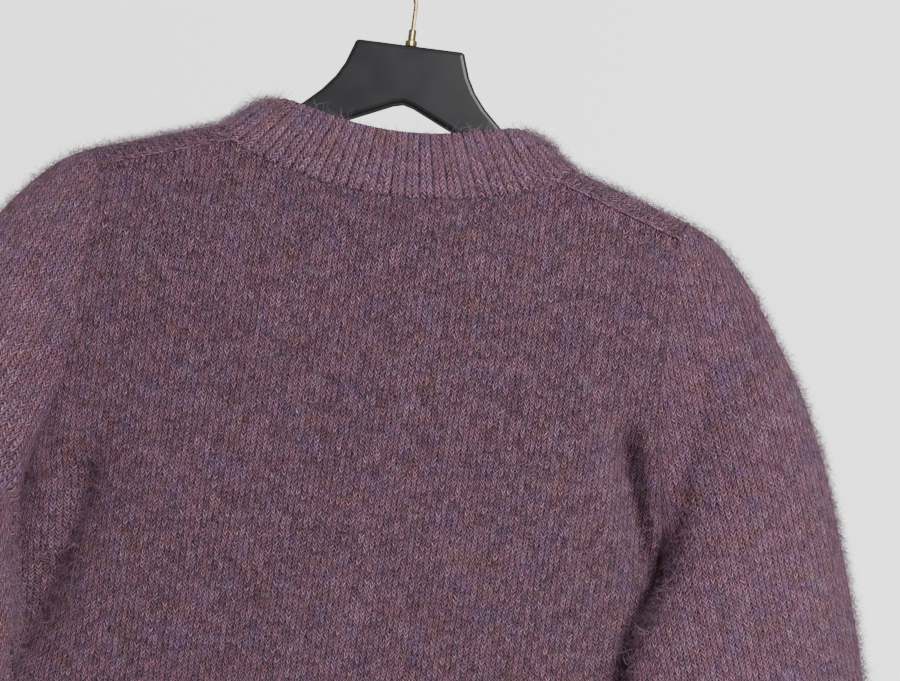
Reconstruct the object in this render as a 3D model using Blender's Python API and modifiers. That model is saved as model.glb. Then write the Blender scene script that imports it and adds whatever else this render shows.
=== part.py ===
"""A heather knit cardigan hung on a moulded plastic hanger with a brass hook.

Units are metres and +Z is up. The origin is where a rail carries the hook, on the
inside of its arc. The back of the cardigan faces +Y and its buttoned front faces -Y,
so the wearer's left is at +X. Heights are given as drops below the hanger's top edge.
"""

from collections import namedtuple
from math import acos, atan2, cos, exp, hypot, pi, radians, sin, sqrt

import bmesh
import bpy
from mathutils import Vector

LEFT, RIGHT = 1, -1
BACK, FRONT = 1, -1

# Hanger and hook
HOOK_RISE = 0.078
HOOK_WIRE = 0.0028
HOOK_INNER_RADIUS = 0.021
HOOK_SHAFT_TOP = 0.052
HOOK_JOIN_ANGLE = radians(-48)
HOOK_TIP_ANGLE = radians(205)
SLEEVE_RADIUS = 0.0018
SLEEVE_HEIGHT = 0.0065
COLLAR_RADIUS = 0.0037
COLLAR_HEIGHT = 0.0038
HANGER_THICKNESS = 0.0125
HANGER_EDGE_ROUND = 0.0035
HANGER_HALF_LENGTH = 0.1725
HANGER_HEAD_HALF = 0.0337
NOTCH_APEX = 0.034
NOTCH_SLOPE = 0.455

# Cloth
WALL = 0.0024
BAND_WALL = 0.0030
SLEEVE_FLATNESS = 0.8
RIB_RELIEF = 0.0009
RIB_PITCH = 0.0076
SEAM_GAP = 0.0003
SIDE_SEAM_REACH = 0.0006
HANGER_CLEARANCE = 0.0013

# Shoulders and neck
FOLD_DROP = 0.061
SHOULDER_SLOPE = 0.32
SHOULDER_ROUND = 0.0122
NECK_HALF = 0.107
SHOULDER_SEAM_AT_NECK = 0.0985
BACK_NECK_DROP = 0.0925
FRONT_NECK_DROP = 0.136
BAND_TOP_HALF = 0.0765
BAND_TOP_DROP = 0.0395
BAND_TOP_BACK_DROP = 0.0540
BAND_TOP_FRONT_DROP = 0.100
BAND_TOP_DEPTH = 0.0185

# Body and front opening
UNDERARM_DROP = 0.290
HEM_SEAM_DROP = 0.580
HEM_DROP = 0.640
OPENING_HALF = 0.0150
BAND_LAP = 0.0045
BUTTON_COUNT = 6
BUTTON_RADIUS = 0.0085
BUTTON_HEIGHT = 0.0032

BodyLevel = namedtuple("BodyLevel", "drop left right back front edge")
BODY_LEVELS = (
    BodyLevel(drop=0.0845, left=0.1800, right=0.1800, back=0.0180, front=0.0170, edge=0.0120),
    BodyLevel(drop=0.0965, left=0.1745, right=0.1745, back=0.0195, front=0.0185, edge=0.0125),
    BodyLevel(drop=0.1100, left=0.1735, right=0.1735, back=0.0215, front=0.0200, edge=0.0155),
    BodyLevel(drop=0.1400, left=0.1735, right=0.1730, back=0.0245, front=0.0230, edge=0.0195),
    BodyLevel(drop=0.1800, left=0.1745, right=0.1735, back=0.0280, front=0.0265, edge=0.0220),
    BodyLevel(drop=0.2100, left=0.1775, right=0.1760, back=0.0300, front=0.0285, edge=0.0215),
    BodyLevel(drop=0.2400, left=0.1840, right=0.1805, back=0.0312, front=0.0295, edge=0.0180),
    BodyLevel(drop=0.2650, left=0.1910, right=0.1855, back=0.0318, front=0.0300, edge=0.0125),
    BodyLevel(drop=0.2820, left=0.1955, right=0.1885, back=0.0320, front=0.0300, edge=0.0060),
    BodyLevel(drop=0.2900, left=0.1970, right=0.1890, back=0.0320, front=0.0300, edge=0.0000),
    BodyLevel(drop=0.3300, left=0.1985, right=0.1850, back=0.0322, front=0.0300, edge=0.0000),
    BodyLevel(drop=0.4000, left=0.1980, right=0.1835, back=0.0326, front=0.0305, edge=0.0000),
    BodyLevel(drop=0.4800, left=0.1940, right=0.1865, back=0.0330, front=0.0310, edge=0.0000),
    BodyLevel(drop=0.5500, left=0.1895, right=0.1880, back=0.0322, front=0.0305, edge=0.0000),
    BodyLevel(drop=0.5800, left=0.1855, right=0.1855, back=0.0305, front=0.0290, edge=0.0000),
    BodyLevel(drop=0.6100, left=0.1790, right=0.1790, back=0.0288, front=0.0276, edge=0.0000),
    BodyLevel(drop=0.6400, left=0.1810, right=0.1810, back=0.0290, front=0.0278, edge=0.0000),
)

# One row for each ring of a sleeve: its upper line, the under line of the left and of
# the right sleeve, half its thickness and how far the wall behind pushes it back.
SleeveRing = namedtuple("SleeveRing", "over over_drop left right under_drop half shift")
SLEEVE_RINGS = (
    #          over    over_drop left   right   under_drop half   shift
    SleeveRing(0.1990, 0.0945, 0.1985, 0.1925, 0.2975, 0.0235, 0.002),
    SleeveRing(0.2180, 0.1150, 0.1987, 0.1900, 0.3045, 0.0250, 0.008),
    SleeveRing(0.2370, 0.1450, 0.1979, 0.1861, 0.3120, 0.0262, 0.015),
    SleeveRing(0.2540, 0.1750, 0.1966, 0.1818, 0.3210, 0.0265, 0.021),
    SleeveRing(0.2705, 0.2120, 0.1953, 0.1778, 0.3320, 0.0262, 0.026),
    SleeveRing(0.2850, 0.2540, 0.1945, 0.1750, 0.3460, 0.0260, 0.029),
    SleeveRing(0.2990, 0.2990, 0.1950, 0.1755, 0.3660, 0.0258, 0.030),
    SleeveRing(0.3115, 0.3430, 0.1988, 0.1813, 0.3990, 0.0252, 0.028),
    SleeveRing(0.3225, 0.3900, 0.2069, 0.1933, 0.4390, 0.0245, 0.022),
    SleeveRing(0.3310, 0.4370, 0.2170, 0.2073, 0.4790, 0.0238, 0.015),
    SleeveRing(0.3370, 0.4800, 0.2276, 0.2218, 0.5150, 0.0230, 0.009),
    SleeveRing(0.3405, 0.5160, 0.2408, 0.2379, 0.5440, 0.0215, 0.005),
    SleeveRing(0.3372, 0.5325, 0.2532, 0.2532, 0.5550, 0.0195, 0.003),
)
CUFF_RINGS = (
    #          over    over_drop left   right   under_drop half   shift
    SleeveRing(0.3370, 0.5330, 0.2542, 0.2542, 0.5552, 0.0190, 0.003),
    SleeveRing(0.3422, 0.5630, 0.2612, 0.2612, 0.5846, 0.0175, 0.001),
    SleeveRing(0.3495, 0.5925, 0.2675, 0.2675, 0.6145, 0.0178, 0.000),
)

# Soft creases across a sleeve, by ring, by angle round it and by which sleeve.
Crease = namedtuple("Crease", "side ring angle rings degrees depth")
SLEEVE_CREASES = (
    Crease(side=LEFT, ring=7.2, angle=150, rings=0.9, degrees=45, depth=0.0060),
    Crease(side=LEFT, ring=9.0, angle=60, rings=0.8, degrees=40, depth=0.0045),
    Crease(side=LEFT, ring=8.2, angle=250, rings=0.9, degrees=50, depth=0.0050),
    Crease(side=RIGHT, ring=7.8, angle=140, rings=0.9, degrees=45, depth=0.0060),
    Crease(side=RIGHT, ring=9.6, angle=70, rings=0.8, degrees=40, depth=0.0045),
    Crease(side=RIGHT, ring=7.4, angle=255, rings=0.9, degrees=50, depth=0.0050),
)

# Large folds as soft troughs between two places on a face of the body.
Fold = namedtuple("Fold", "face x0 drop0 x1 drop1 width depth")
BODY_FOLDS = (
    Fold(face=BACK, x0=-0.155, drop0=0.215, x1=-0.182, drop1=0.300, width=0.013, depth=0.0080),
    Fold(face=BACK, x0=0.150, drop0=0.250, x1=0.180, drop1=0.400, width=0.015, depth=0.0090),
    Fold(face=BACK, x0=-0.100, drop0=0.440, x1=-0.118, drop1=0.575, width=0.020, depth=0.0040),
    Fold(face=BACK, x0=0.070, drop0=0.420, x1=0.086, drop1=0.575, width=0.022, depth=0.0045),
    Fold(face=FRONT, x0=0.150, drop0=0.215, x1=0.178, drop1=0.300, width=0.013, depth=0.0070),
    Fold(face=FRONT, x0=-0.146, drop0=0.250, x1=-0.172, drop1=0.390, width=0.015, depth=0.0070),
    Fold(face=FRONT, x0=-0.090, drop0=0.440, x1=-0.105, drop1=0.575, width=0.020, depth=0.0040),
    Fold(face=FRONT, x0=0.088, drop0=0.430, x1=0.098, drop1=0.575, width=0.020, depth=0.0040),
)


def clamp(value, low=0.0, high=1.0):
    return max(low, min(high, value))


def mix(a, b, t):
    return a + (b - a) * t


def smooth(value):
    t = clamp(value)
    return t * t * (3 - 2 * t)


def signed_power(value, power):
    return abs(value) ** power * (1 if value >= 0 else -1)


def read_column(table, column, drop):
    """A smooth curve without overshoot through one column of BODY_LEVELS."""
    xs = [row.drop for row in table]
    ys = [getattr(row, column) for row in table]
    if drop <= xs[0]:
        return ys[0]
    if drop >= xs[-1]:
        return ys[-1]
    i = max(k for k in range(len(xs) - 1) if xs[k] <= drop)
    steps = [(ys[k + 1] - ys[k]) / (xs[k + 1] - xs[k]) for k in range(len(xs) - 1)]

    def slope(k):
        if k in (0, len(steps)) or steps[k - 1] * steps[k] <= 0:
            return 0.0
        return 2 * steps[k - 1] * steps[k] / (steps[k - 1] + steps[k])

    span = xs[i + 1] - xs[i]
    t = (drop - xs[i]) / span
    rise = t * t * (3 - 2 * t)
    lead = t * (1 - t) ** 2 * span * slope(i)
    tail = t * t * (t - 1) * span * slope(i + 1)
    return mix(ys[i], ys[i + 1], rise) + lead + tail


def half_width(drop, x):
    return read_column(BODY_LEVELS, "left" if x > 0 else "right", drop)


def fold_drop(x):
    """The ridge along the top of the shoulders."""
    return FOLD_DROP + (abs(x) - NECK_HALF) * SHOULDER_SLOPE


def trough(x, drop, face):
    depth = 0.0
    for fold in BODY_FOLDS:
        if fold.face != face:
            continue
        run, fall = fold.x1 - fold.x0, fold.drop1 - fold.drop0
        length = hypot(run, fall)
        along = ((x - fold.x0) * run + (drop - fold.drop0) * fall) / length ** 2
        across = ((x - fold.x0) * fall - (drop - fold.drop0) * run) / length
        ends = smooth(along / 0.3 + 0.2) * smooth((1 - along) / 0.3 + 0.2)
        depth += fold.depth * ends * exp(-(across / fold.width) ** 2)
    return depth


def body_depth(x, drop, face):
    """Half thickness of the hung body, from its middle plane to one face."""
    reach = clamp(abs(x) / half_width(drop, x))
    middle = read_column(BODY_LEVELS, "back" if face == BACK else "front", drop)
    edge = read_column(BODY_LEVELS, "edge", drop)
    yoke = 1 - reach ** 2.4
    side_fold = (1 - reach ** 3) ** (1 / 2.2)
    crown = mix(yoke, side_fold, smooth((drop - 0.20) / 0.09))
    depth = edge + (middle - edge) * crown
    depth -= trough(x, drop, face) * smooth((1 - reach) / 0.10)
    over_top = clamp((drop - fold_drop(x)) / SHOULDER_ROUND)
    return depth * sqrt(1 - (1 - over_top) ** 2)


def body_point(x, drop, face):
    return Vector((x, face * body_depth(x, drop, face), -HOOK_RISE - drop))


def neck_seam(angle):
    """x and drop of the neck seam: 0 is the middle of the back and pi the front."""
    height = abs(cos(angle))
    if cos(angle) > 0:
        drop = FOLD_DROP + (BACK_NECK_DROP - FOLD_DROP) * height ** 1.36
    else:
        drop = FOLD_DROP + (FRONT_NECK_DROP - FOLD_DROP) * height ** 1.2
    return NECK_HALF * sin(angle), drop


def cloth_wall(name, rows, wall, material, closed=False, relief=None, inward=1):
    """A solid sheet of cloth between a grid of outer points and the same grid
    moved in by the wall's thickness. Relief raises outer points only."""
    height, width = len(rows), len(rows[0])

    def at(r, c):
        return rows[r][c % width] if closed else rows[r][clamp(c, 0, width - 1)]

    normals = []
    for r in range(height):
        line = []
        for c in range(width):
            down = rows[min(r + 1, height - 1)][c] - rows[max(r - 1, 0)][c]
            across = at(r, c + 1) - at(r, c - 1)
            normal = across.cross(down).normalized() * inward
            if not closed and c in (0, width - 1) and abs(rows[r][c].y) < SIDE_SEAM_REACH:
                normal = Vector((normal.x, 0.0, normal.z)).normalized()
            line.append(normal)
        normals.append(line)
    mesh = bmesh.new()
    outer, inner = [], []
    for r in range(height):
        raised = [relief(r, c) if relief else 0.0 for c in range(width)]
        outer.append([mesh.verts.new(rows[r][c] - normals[r][c] * raised[c]) for c in range(width)])
        inner.append([mesh.verts.new(rows[r][c] + normals[r][c] * wall) for c in range(width)])
    columns = range(width if closed else width - 1)
    for r in range(height - 1):
        for c in columns:
            n = (c + 1) % width
            mesh.faces.new((outer[r][c], outer[r + 1][c], outer[r + 1][n], outer[r][n]))
            mesh.faces.new((inner[r][n], inner[r + 1][n], inner[r + 1][c], inner[r][c]))
    for c in columns:
        n = (c + 1) % width
        mesh.faces.new((inner[0][c], outer[0][c], outer[0][n], inner[0][n]))
        mesh.faces.new((outer[-1][c], inner[-1][c], inner[-1][n], outer[-1][n]))
    if not closed:
        for r in range(height - 1):
            mesh.faces.new((inner[r][0], inner[r + 1][0], outer[r + 1][0], outer[r][0]))
            mesh.faces.new((outer[r][-1], outer[r + 1][-1], inner[r + 1][-1], inner[r][-1]))
    bmesh.ops.recalc_face_normals(mesh, faces=mesh.faces)
    return finish_mesh(name, mesh, material, crease=40)


def pull_edges(rows, sides, gap=SEAM_GAP * 0.55):
    """Draws the named edges of a grid in by half the gap that a seam leaves."""
    def pull(point, neighbour):
        return point + (neighbour - point).normalized() * gap

    if "top" in sides:
        rows[0] = [pull(a, b) for a, b in zip(rows[0], rows[1])]
    if "bottom" in sides:
        rows[-1] = [pull(a, b) for a, b in zip(rows[-1], rows[-2])]
    for line in rows:
        if "start" in sides:
            line[0] = pull(line[0], line[1])
        if "end" in sides:
            line[-1] = pull(line[-1], line[-2])
    return rows


def finish_mesh(name, mesh, material, crease=30):
    data = bpy.data.meshes.new(name)
    mesh.to_mesh(data)
    mesh.free()
    data.materials.append(material)
    data.shade_smooth()
    data.set_sharp_from_angle(angle=radians(crease))
    piece = bpy.data.objects.new(name, data)
    bpy.data.collections["cardigan"].objects.link(piece)
    return piece


def make_material(name, colour, roughness, metallic=0.0):
    material = bpy.data.materials.new(name)
    material.use_nodes = True
    shader = material.node_tree.nodes["Principled BSDF"]
    shader.inputs["Base Color"].default_value = (*colour, 1.0)
    shader.inputs["Roughness"].default_value = roughness
    shader.inputs["Metallic"].default_value = metallic
    material.diffuse_color = (*colour, 1.0)
    return material


def even_steps(curve, start, end, count):
    """Parameters that cut a curve into steps of the same length."""
    fine = [mix(start, end, k / 400) for k in range(401)]
    points = [curve(t) for t in fine]
    lengths = [0.0]
    for a, b in zip(points, points[1:]):
        lengths.append(lengths[-1] + (b - a).length)
    steps, k = [], 0
    for n in range(count + 1):
        goal = lengths[-1] * n / count
        while k < 399 and lengths[k + 1] < goal:
            k += 1
        part = (goal - lengths[k]) / max(lengths[k + 1] - lengths[k], 1e-9)
        steps.append(mix(fine[k], fine[k + 1], clamp(part)))
    return steps


def rib_count(curve, start, end):
    length = sum((curve(mix(start, end, (k + 1) / 200)) - curve(mix(start, end, k / 200))).length
                 for k in range(200))
    return round(length / RIB_PITCH)


SIDE_DROPS = (0.0938, 0.104, 0.118, 0.138, 0.160, 0.184, 0.210, 0.235, 0.257, 0.275, 0.290,
              0.312, 0.345, 0.385, 0.430, 0.475, 0.515, 0.550, 0.580)


def build_back(material):
    seam_angle = 34.8
    angles = [seam_angle * k / 5 for k in range(6)]
    angles += [mix(seam_angle, 90, k / 6) for k in range(1, 7)]
    reaches = [sin(radians(a)) for a in angles]
    columns = [-f for f in reversed(reaches[1:])] + reaches
    corner = SHOULDER_SEAM_AT_NECK / half_width(SIDE_DROPS[0], 1)

    def top_drop(reach):
        x = abs(reach) * SHOULDER_SEAM_AT_NECK / corner
        if abs(reach) < corner + 1e-3:
            height = sqrt(max(0.0, 1 - (x / NECK_HALF) ** 2))
            return FOLD_DROP + (BACK_NECK_DROP - FOLD_DROP) * height ** 1.36
        return fold_drop(x) + SHOULDER_ROUND

    rows = []
    for side in SIDE_DROPS:
        line = []
        for reach in columns:
            part = (side - SIDE_DROPS[0]) / (HEM_SEAM_DROP - SIDE_DROPS[0])
            drop = mix(top_drop(reach), HEM_SEAM_DROP, part)
            x = reach * half_width(side, reach)
            line.append(body_point(x, drop, BACK))
        rows.append(line)
    pull_edges(rows, ("top", "bottom", "start", "end"))
    return cloth_wall("back", rows, WALL, material, inward=-1)


# Each row of a front runs from the neck or front edge out to the armhole or side.
FrontRow = namedtuple("FrontRow", "neck_angle edge_drop out_face out_drop")
FRONT_ROWS = (
    FrontRow(neck_angle=67.0, edge_drop=None, out_face=BACK, out_drop=0.0938),
    FrontRow(neck_angle=74.0, edge_drop=None, out_face=BACK, out_drop=0.0892),
    FrontRow(neck_angle=80.0, edge_drop=None, out_face=BACK, out_drop=0.0865),
    FrontRow(neck_angle=85.5, edge_drop=None, out_face=BACK, out_drop=0.0850),
    FrontRow(neck_angle=90.0, edge_drop=None, out_face=FRONT, out_drop=0.0845),
    FrontRow(neck_angle=94.5, edge_drop=None, out_face=FRONT, out_drop=0.0850),
    FrontRow(neck_angle=100.0, edge_drop=None, out_face=FRONT, out_drop=0.0865),
    FrontRow(neck_angle=107.0, edge_drop=None, out_face=FRONT, out_drop=0.0892),
    FrontRow(neck_angle=117.0, edge_drop=None, out_face=FRONT, out_drop=0.0938),
    FrontRow(neck_angle=127.0, edge_drop=None, out_face=FRONT, out_drop=0.1040),
    FrontRow(neck_angle=137.0, edge_drop=None, out_face=FRONT, out_drop=0.1180),
    FrontRow(neck_angle=147.0, edge_drop=None, out_face=FRONT, out_drop=0.1380),
    FrontRow(neck_angle=158.0, edge_drop=None, out_face=FRONT, out_drop=0.1600),
    FrontRow(neck_angle=171.95, edge_drop=None, out_face=FRONT, out_drop=0.1840),
    FrontRow(neck_angle=None, edge_drop=0.170, out_face=FRONT, out_drop=0.2100),
    FrontRow(neck_angle=None, edge_drop=0.205, out_face=FRONT, out_drop=0.2350),
    FrontRow(neck_angle=None, edge_drop=0.237, out_face=FRONT, out_drop=0.2570),
    FrontRow(neck_angle=None, edge_drop=0.265, out_face=FRONT, out_drop=0.2750),
)


def build_front(side, name, material):
    inner_x = OPENING_HALF + SEAM_GAP
    reaches = [sin(radians(a)) for a in (0, 13, 26, 38, 49, 59, 68, 76, 83, 90)]
    rows = []
    for row in FRONT_ROWS:
        if row.neck_angle is None:
            x0, drop0 = inner_x, row.edge_drop
        else:
            x0, drop0 = neck_seam(radians(row.neck_angle))
        x1, drop1 = half_width(row.out_drop, side), row.out_drop
        line = []
        for reach in reaches:
            x = side * mix(x0, x1, reach)
            line.append(body_point(x, mix(drop0, drop1, reach), row.out_face))
        rows.append(line)
    for drop in SIDE_DROPS[10:]:
        width = half_width(drop, side)
        rows.append([body_point(side * mix(inner_x, width, f), drop, FRONT) for f in reaches])
    pull_edges(rows, ("top", "bottom", "start", "end"))
    return cloth_wall(name, rows, WALL, material, inward=side)


def sleeve_point(ring, side, angle):
    """Angle 0 is the upper line, 90 degrees the back face, 180 the under line."""
    along = signed_power(cos(angle), SLEEVE_FLATNESS)
    across = signed_power(sin(angle), SLEEVE_FLATNESS)
    under = ring.left if side == LEFT else ring.right
    x = mix(under, ring.over, (1 + along) / 2)
    drop = mix(ring.under_drop, ring.over_drop, (1 + along) / 2)
    return Vector((side * x, ring.shift + ring.half * across, -HOOK_RISE - drop))


def sleeve_crease(side, ring_number, angle):
    """How far the creases draw a sleeve's surface in, as a share of its size."""
    depth = 0.0
    for crease in SLEEVE_CREASES:
        if crease.side == side:
            turn = (angle - radians(crease.angle) + pi) % (2 * pi) - pi
            far = ((ring_number - crease.ring) / crease.rings) ** 2 + (turn / radians(crease.degrees)) ** 2
            depth += crease.depth * exp(-far)
    return depth


def armhole_places():
    """Face and drop of each point round an armhole, on the panels' own rows."""
    back = [row.out_drop for row in FRONT_ROWS if row.out_face == BACK][::-1]
    back += [drop for drop in SIDE_DROPS if SIDE_DROPS[0] < drop < UNDERARM_DROP]
    front = [row.out_drop for row in FRONT_ROWS if row.out_face == FRONT][1:][::-1]
    tip = BODY_LEVELS[0].drop
    places = [(BACK, d) for d in [tip] + back]
    return places + [(FRONT, d) for d in [UNDERARM_DROP] + front]


def armhole_angle(face, drop):
    along = 2 * (UNDERARM_DROP - drop) / (UNDERARM_DROP - BODY_LEVELS[0].drop) - 1
    angle = acos(clamp(signed_power(along, 1 / SLEEVE_FLATNESS), -1, 1))
    return angle if face == BACK else 2 * pi - angle


def build_sleeve(side, name, material):
    places = armhole_places()
    rows = [[body_point(side * half_width(drop, side), drop, face) for face, drop in places]]
    angles = [armhole_angle(face, drop) for face, drop in places]
    for number, ring in enumerate(SLEEVE_RINGS):
        middle = sleeve_point(ring, side, 0).lerp(sleeve_point(ring, side, pi), 0.5)
        line = []
        for angle in angles:
            point = sleeve_point(ring, side, angle)
            inward = (middle - point).normalized()
            line.append(point + inward * sleeve_crease(side, number, angle))
        rows.append(line)
    pull_edges(rows, ("top", "bottom"), gap=SEAM_GAP)
    return cloth_wall(name, rows, WALL, material, closed=True, inward=side)


def build_cuff(side, name, material):
    def curve(angle):
        return sleeve_point(CUFF_RINGS[1], side, angle)

    ribs = rib_count(curve, 0, 2 * pi)
    angles = even_steps(curve, 0, 2 * pi, ribs * 2)[:-1]
    rows = [[sleeve_point(ring, side, a) for a in angles] for ring in CUFF_RINGS]
    pull_edges(rows, ("top",))
    return cloth_wall(name, rows, WALL, material, closed=True, inward=side,
                      relief=lambda r, c: RIB_RELIEF * (c % 2))


HEM_DROPS = (HEM_SEAM_DROP, 0.610, HEM_DROP)


def build_hem(name, start_x, end_x, face, material):
    """A ribbed strip of hem between two places across one face of the body."""
    start, end = atan_reach(start_x), atan_reach(end_x)

    def curve(angle):
        return body_point(sin(angle) * half_width(HEM_DROPS[1], sin(angle)), HEM_DROPS[1], face)

    ribs = rib_count(curve, start, end)
    angles = even_steps(curve, start, end, ribs * 2)
    rows = []
    for drop in HEM_DROPS:
        rows.append([body_point(sin(a) * half_width(drop, sin(a)), drop, face) for a in angles])
    pull_edges(rows, ("top", "start", "end"))
    return cloth_wall(name, rows, WALL, material, inward=-face,
                      relief=lambda r, c: RIB_RELIEF * (c % 2))


def atan_reach(x):
    reach = clamp(x / half_width(HEM_DROPS[1], x), -1, 1)
    return atan2(reach, sqrt(1 - reach * reach))


def neckband_point(angle, height):
    """A place on the neckband, from its seam (height 0) to its upper edge (1)."""
    x, drop = neck_seam(angle)
    face = BACK if cos(angle) > 0 else FRONT
    seam = body_point(x, drop, face)
    flat = abs(cos(angle))
    if face == BACK:
        top_drop = BAND_TOP_DROP + (BAND_TOP_BACK_DROP - BAND_TOP_DROP) * flat ** 2.3
    else:
        top_drop = BAND_TOP_DROP + (BAND_TOP_FRONT_DROP - BAND_TOP_DROP) * flat ** 1.3
    top = Vector((BAND_TOP_HALF * sin(angle), face * BAND_TOP_DEPTH * flat ** 0.75, -HOOK_RISE - top_drop))
    return seam.lerp(top, height)


def build_neckband(material):
    half_lap = 0.15

    def lapped(angle, height):
        """The right end, past the middle of the front, lies over the left end."""
        point = neckband_point(angle, height)
        over = smooth((abs(angle) - (pi - 0.62)) / 0.36) if angle < 0 else 0.0
        point.y -= over * (BAND_WALL + RIB_RELIEF + 2 * SEAM_GAP)
        return point

    def curve(angle):
        return lapped(angle, 0.5)

    start, end = -pi - half_lap, pi + half_lap
    ribs = rib_count(curve, start, end)
    angles = even_steps(curve, start, end, ribs * 2)
    heights = (0.0, 0.5, 1.0)
    rows = [[lapped(a, h) for a in angles] for h in heights]
    pull_edges(rows, ("top",), gap=2 * SEAM_GAP)
    return cloth_wall("neckband", rows, BAND_WALL, material, inward=-1,
                      relief=lambda r, c: RIB_RELIEF * (c % 2))


BAND_TOP_GAP = 0.0006
FRONT_BAND_DROPS = tuple(mix(FRONT_NECK_DROP, HEM_DROP, k / 12) for k in range(13))


def band_rows(columns, lift):
    rows = []
    for drop in FRONT_BAND_DROPS:
        start = BAND_TOP_GAP if drop == FRONT_NECK_DROP else 0.0
        line = [body_point(x, drop + start, FRONT) for x in columns]
        rows.append([point - Vector((0, lift, 0)) for point in line])
    return rows


def build_under_band(material):
    columns = (-OPENING_HALF, 0.0, OPENING_HALF)
    rows = band_rows(columns, 0.0)
    return cloth_wall("button_band", rows, WALL, material, inward=1)


def build_over_band(material):
    """The buttonhole band lies over the button band and laps onto the right front."""
    ribs = 5
    start, end = -OPENING_HALF - BAND_LAP, OPENING_HALF
    columns = [mix(start, end, k / (2 * ribs)) for k in range(2 * ribs + 1)]
    rows = band_rows(columns, BAND_WALL + RIB_RELIEF + SEAM_GAP)
    return cloth_wall("buttonhole_band", rows, BAND_WALL, material, inward=1,
                      relief=lambda r, c: RIB_RELIEF * (c % 2))


def button_drops():
    first, last = FRONT_NECK_DROP + 0.028, HEM_DROP - 0.024
    return [mix(first, last, k / (BUTTON_COUNT - 1)) for k in range(BUTTON_COUNT)]


def turned(name, profile, material, segments, axis="Z"):
    """A solid turned from a profile of (radius, height) pairs, top to bottom."""
    mesh = bmesh.new()
    verts = [mesh.verts.new((radius, 0, height)) for radius, height in profile]
    for a, b in zip(verts, verts[1:]):
        mesh.edges.new((a, b))
    piece = finish_mesh(name, mesh, material)
    screw = piece.modifiers.new("Turn", "SCREW")
    screw.axis = axis
    screw.steps = segments
    screw.render_steps = segments
    screw.use_merge_vertices = True
    screw.merge_threshold = 0.00001
    return piece


def build_button(name, x, drop, lift, material):
    """A round button with a raised rim and a dished middle."""
    r, h = BUTTON_RADIUS, BUTTON_HEIGHT
    profile = ((0, h * 0.60), (r * 0.62, h * 0.68), (r * 0.78, h), (r * 0.93, h * 0.92),
               (r, h * 0.62), (r * 0.86, h * 0.12), (r * 0.6, 0), (0, 0))
    button = turned(name, profile, material, 16)
    spot = body_point(x, drop, FRONT)
    button.location = spot - Vector((0, lift, 0))
    button.rotation_euler = (radians(90), 0, 0)
    return button


def hanger_outline():
    """Half of the flat outline, from the middle of the top edge out and back."""
    corner = 0.003
    points = [(0.0, 0.0), (HANGER_HEAD_HALF - corner, 0.0)]
    points += [(HANGER_HEAD_HALF - corner + corner * sin(a), corner - corner * cos(a))
               for a in (radians(30), radians(60), radians(90))]
    points += [(0.0352, 0.0075), (0.0378, 0.0150), (0.0425, 0.0235), (0.0498, 0.0325),
               (0.0600, 0.0420), (0.0745, 0.0520)]
    start = 0.092
    for k in range(9):
        x = mix(start, HANGER_HALF_LENGTH - 0.005, k / 8)
        points.append((x, fold_drop(x) + WALL + HANGER_CLEARANCE))
    tip_drop = fold_drop(HANGER_HALF_LENGTH) + WALL
    points += [(HANGER_HALF_LENGTH, tip_drop + 0.005), (HANGER_HALF_LENGTH + 0.0008, tip_drop + 0.010),
               (HANGER_HALF_LENGTH - 0.004, tip_drop + 0.0145)]
    points += [(0.120, 0.0855), (0.085, NOTCH_APEX + 0.085 * NOTCH_SLOPE * 0.96),
               (0.045, NOTCH_APEX + 0.045 * NOTCH_SLOPE), (0.006, NOTCH_APEX + 0.006 * NOTCH_SLOPE),
               (0.0, NOTCH_APEX + 0.0012)]
    return points


def build_hanger(material):
    outline = hanger_outline()
    mesh = bmesh.new()
    front = HANGER_THICKNESS / 2
    verts = [mesh.verts.new((x, -front, -HOOK_RISE - drop)) for x, drop in outline]
    face = mesh.faces.new(verts)
    spread = bmesh.ops.extrude_face_region(mesh, geom=[face])
    moved = [item for item in spread["geom"] if isinstance(item, bmesh.types.BMVert)]
    bmesh.ops.translate(mesh, verts=moved, vec=(0, HANGER_THICKNESS, 0))
    middle = [f for f in mesh.faces if all(abs(v.co.x) < 1e-6 for v in f.verts)]
    bmesh.ops.delete(mesh, geom=middle, context="FACES_ONLY")
    bmesh.ops.recalc_face_normals(mesh, faces=mesh.faces)
    hanger = finish_mesh("hanger", mesh, material)
    mirror = hanger.modifiers.new("Both arms", "MIRROR")
    mirror.merge_threshold = 0.00001
    rim = hanger.modifiers.new("Rounded rim", "BEVEL")
    rim.width = HANGER_EDGE_ROUND
    rim.segments = 3
    rim.limit_method = "ANGLE"
    rim.angle_limit = radians(60)
    return hanger


def hook_points():
    """The wire's middle line: a straight shaft that bends into a round hook."""
    radius = HOOK_INNER_RADIUS + HOOK_WIRE / 2
    middle = Vector((0, 0, -HOOK_INNER_RADIUS))

    def arc(angle):
        return middle + Vector((radius * cos(angle), 0, radius * sin(angle)))

    base = Vector((0, 0, -HOOK_RISE - 0.004))
    bend = Vector((0, 0, -HOOK_SHAFT_TOP))
    join = arc(HOOK_JOIN_ANGLE)
    points = [base, base.lerp(bend, 0.5)]
    heading = Vector((-sin(HOOK_JOIN_ANGLE), 0, cos(HOOK_JOIN_ANGLE)))
    for k in range(5):
        t = k / 5
        lift = bend + Vector((0, 0, 0.007))
        lead = join - heading * 0.008
        points.append((1 - t) ** 3 * bend + 3 * t * (1 - t) ** 2 * lift
                      + 3 * t * t * (1 - t) * lead + t ** 3 * join)
    turns = 22
    for k in range(turns + 1):
        points.append(arc(mix(HOOK_JOIN_ANGLE, HOOK_TIP_ANGLE, k / turns)))
    return points


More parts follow.
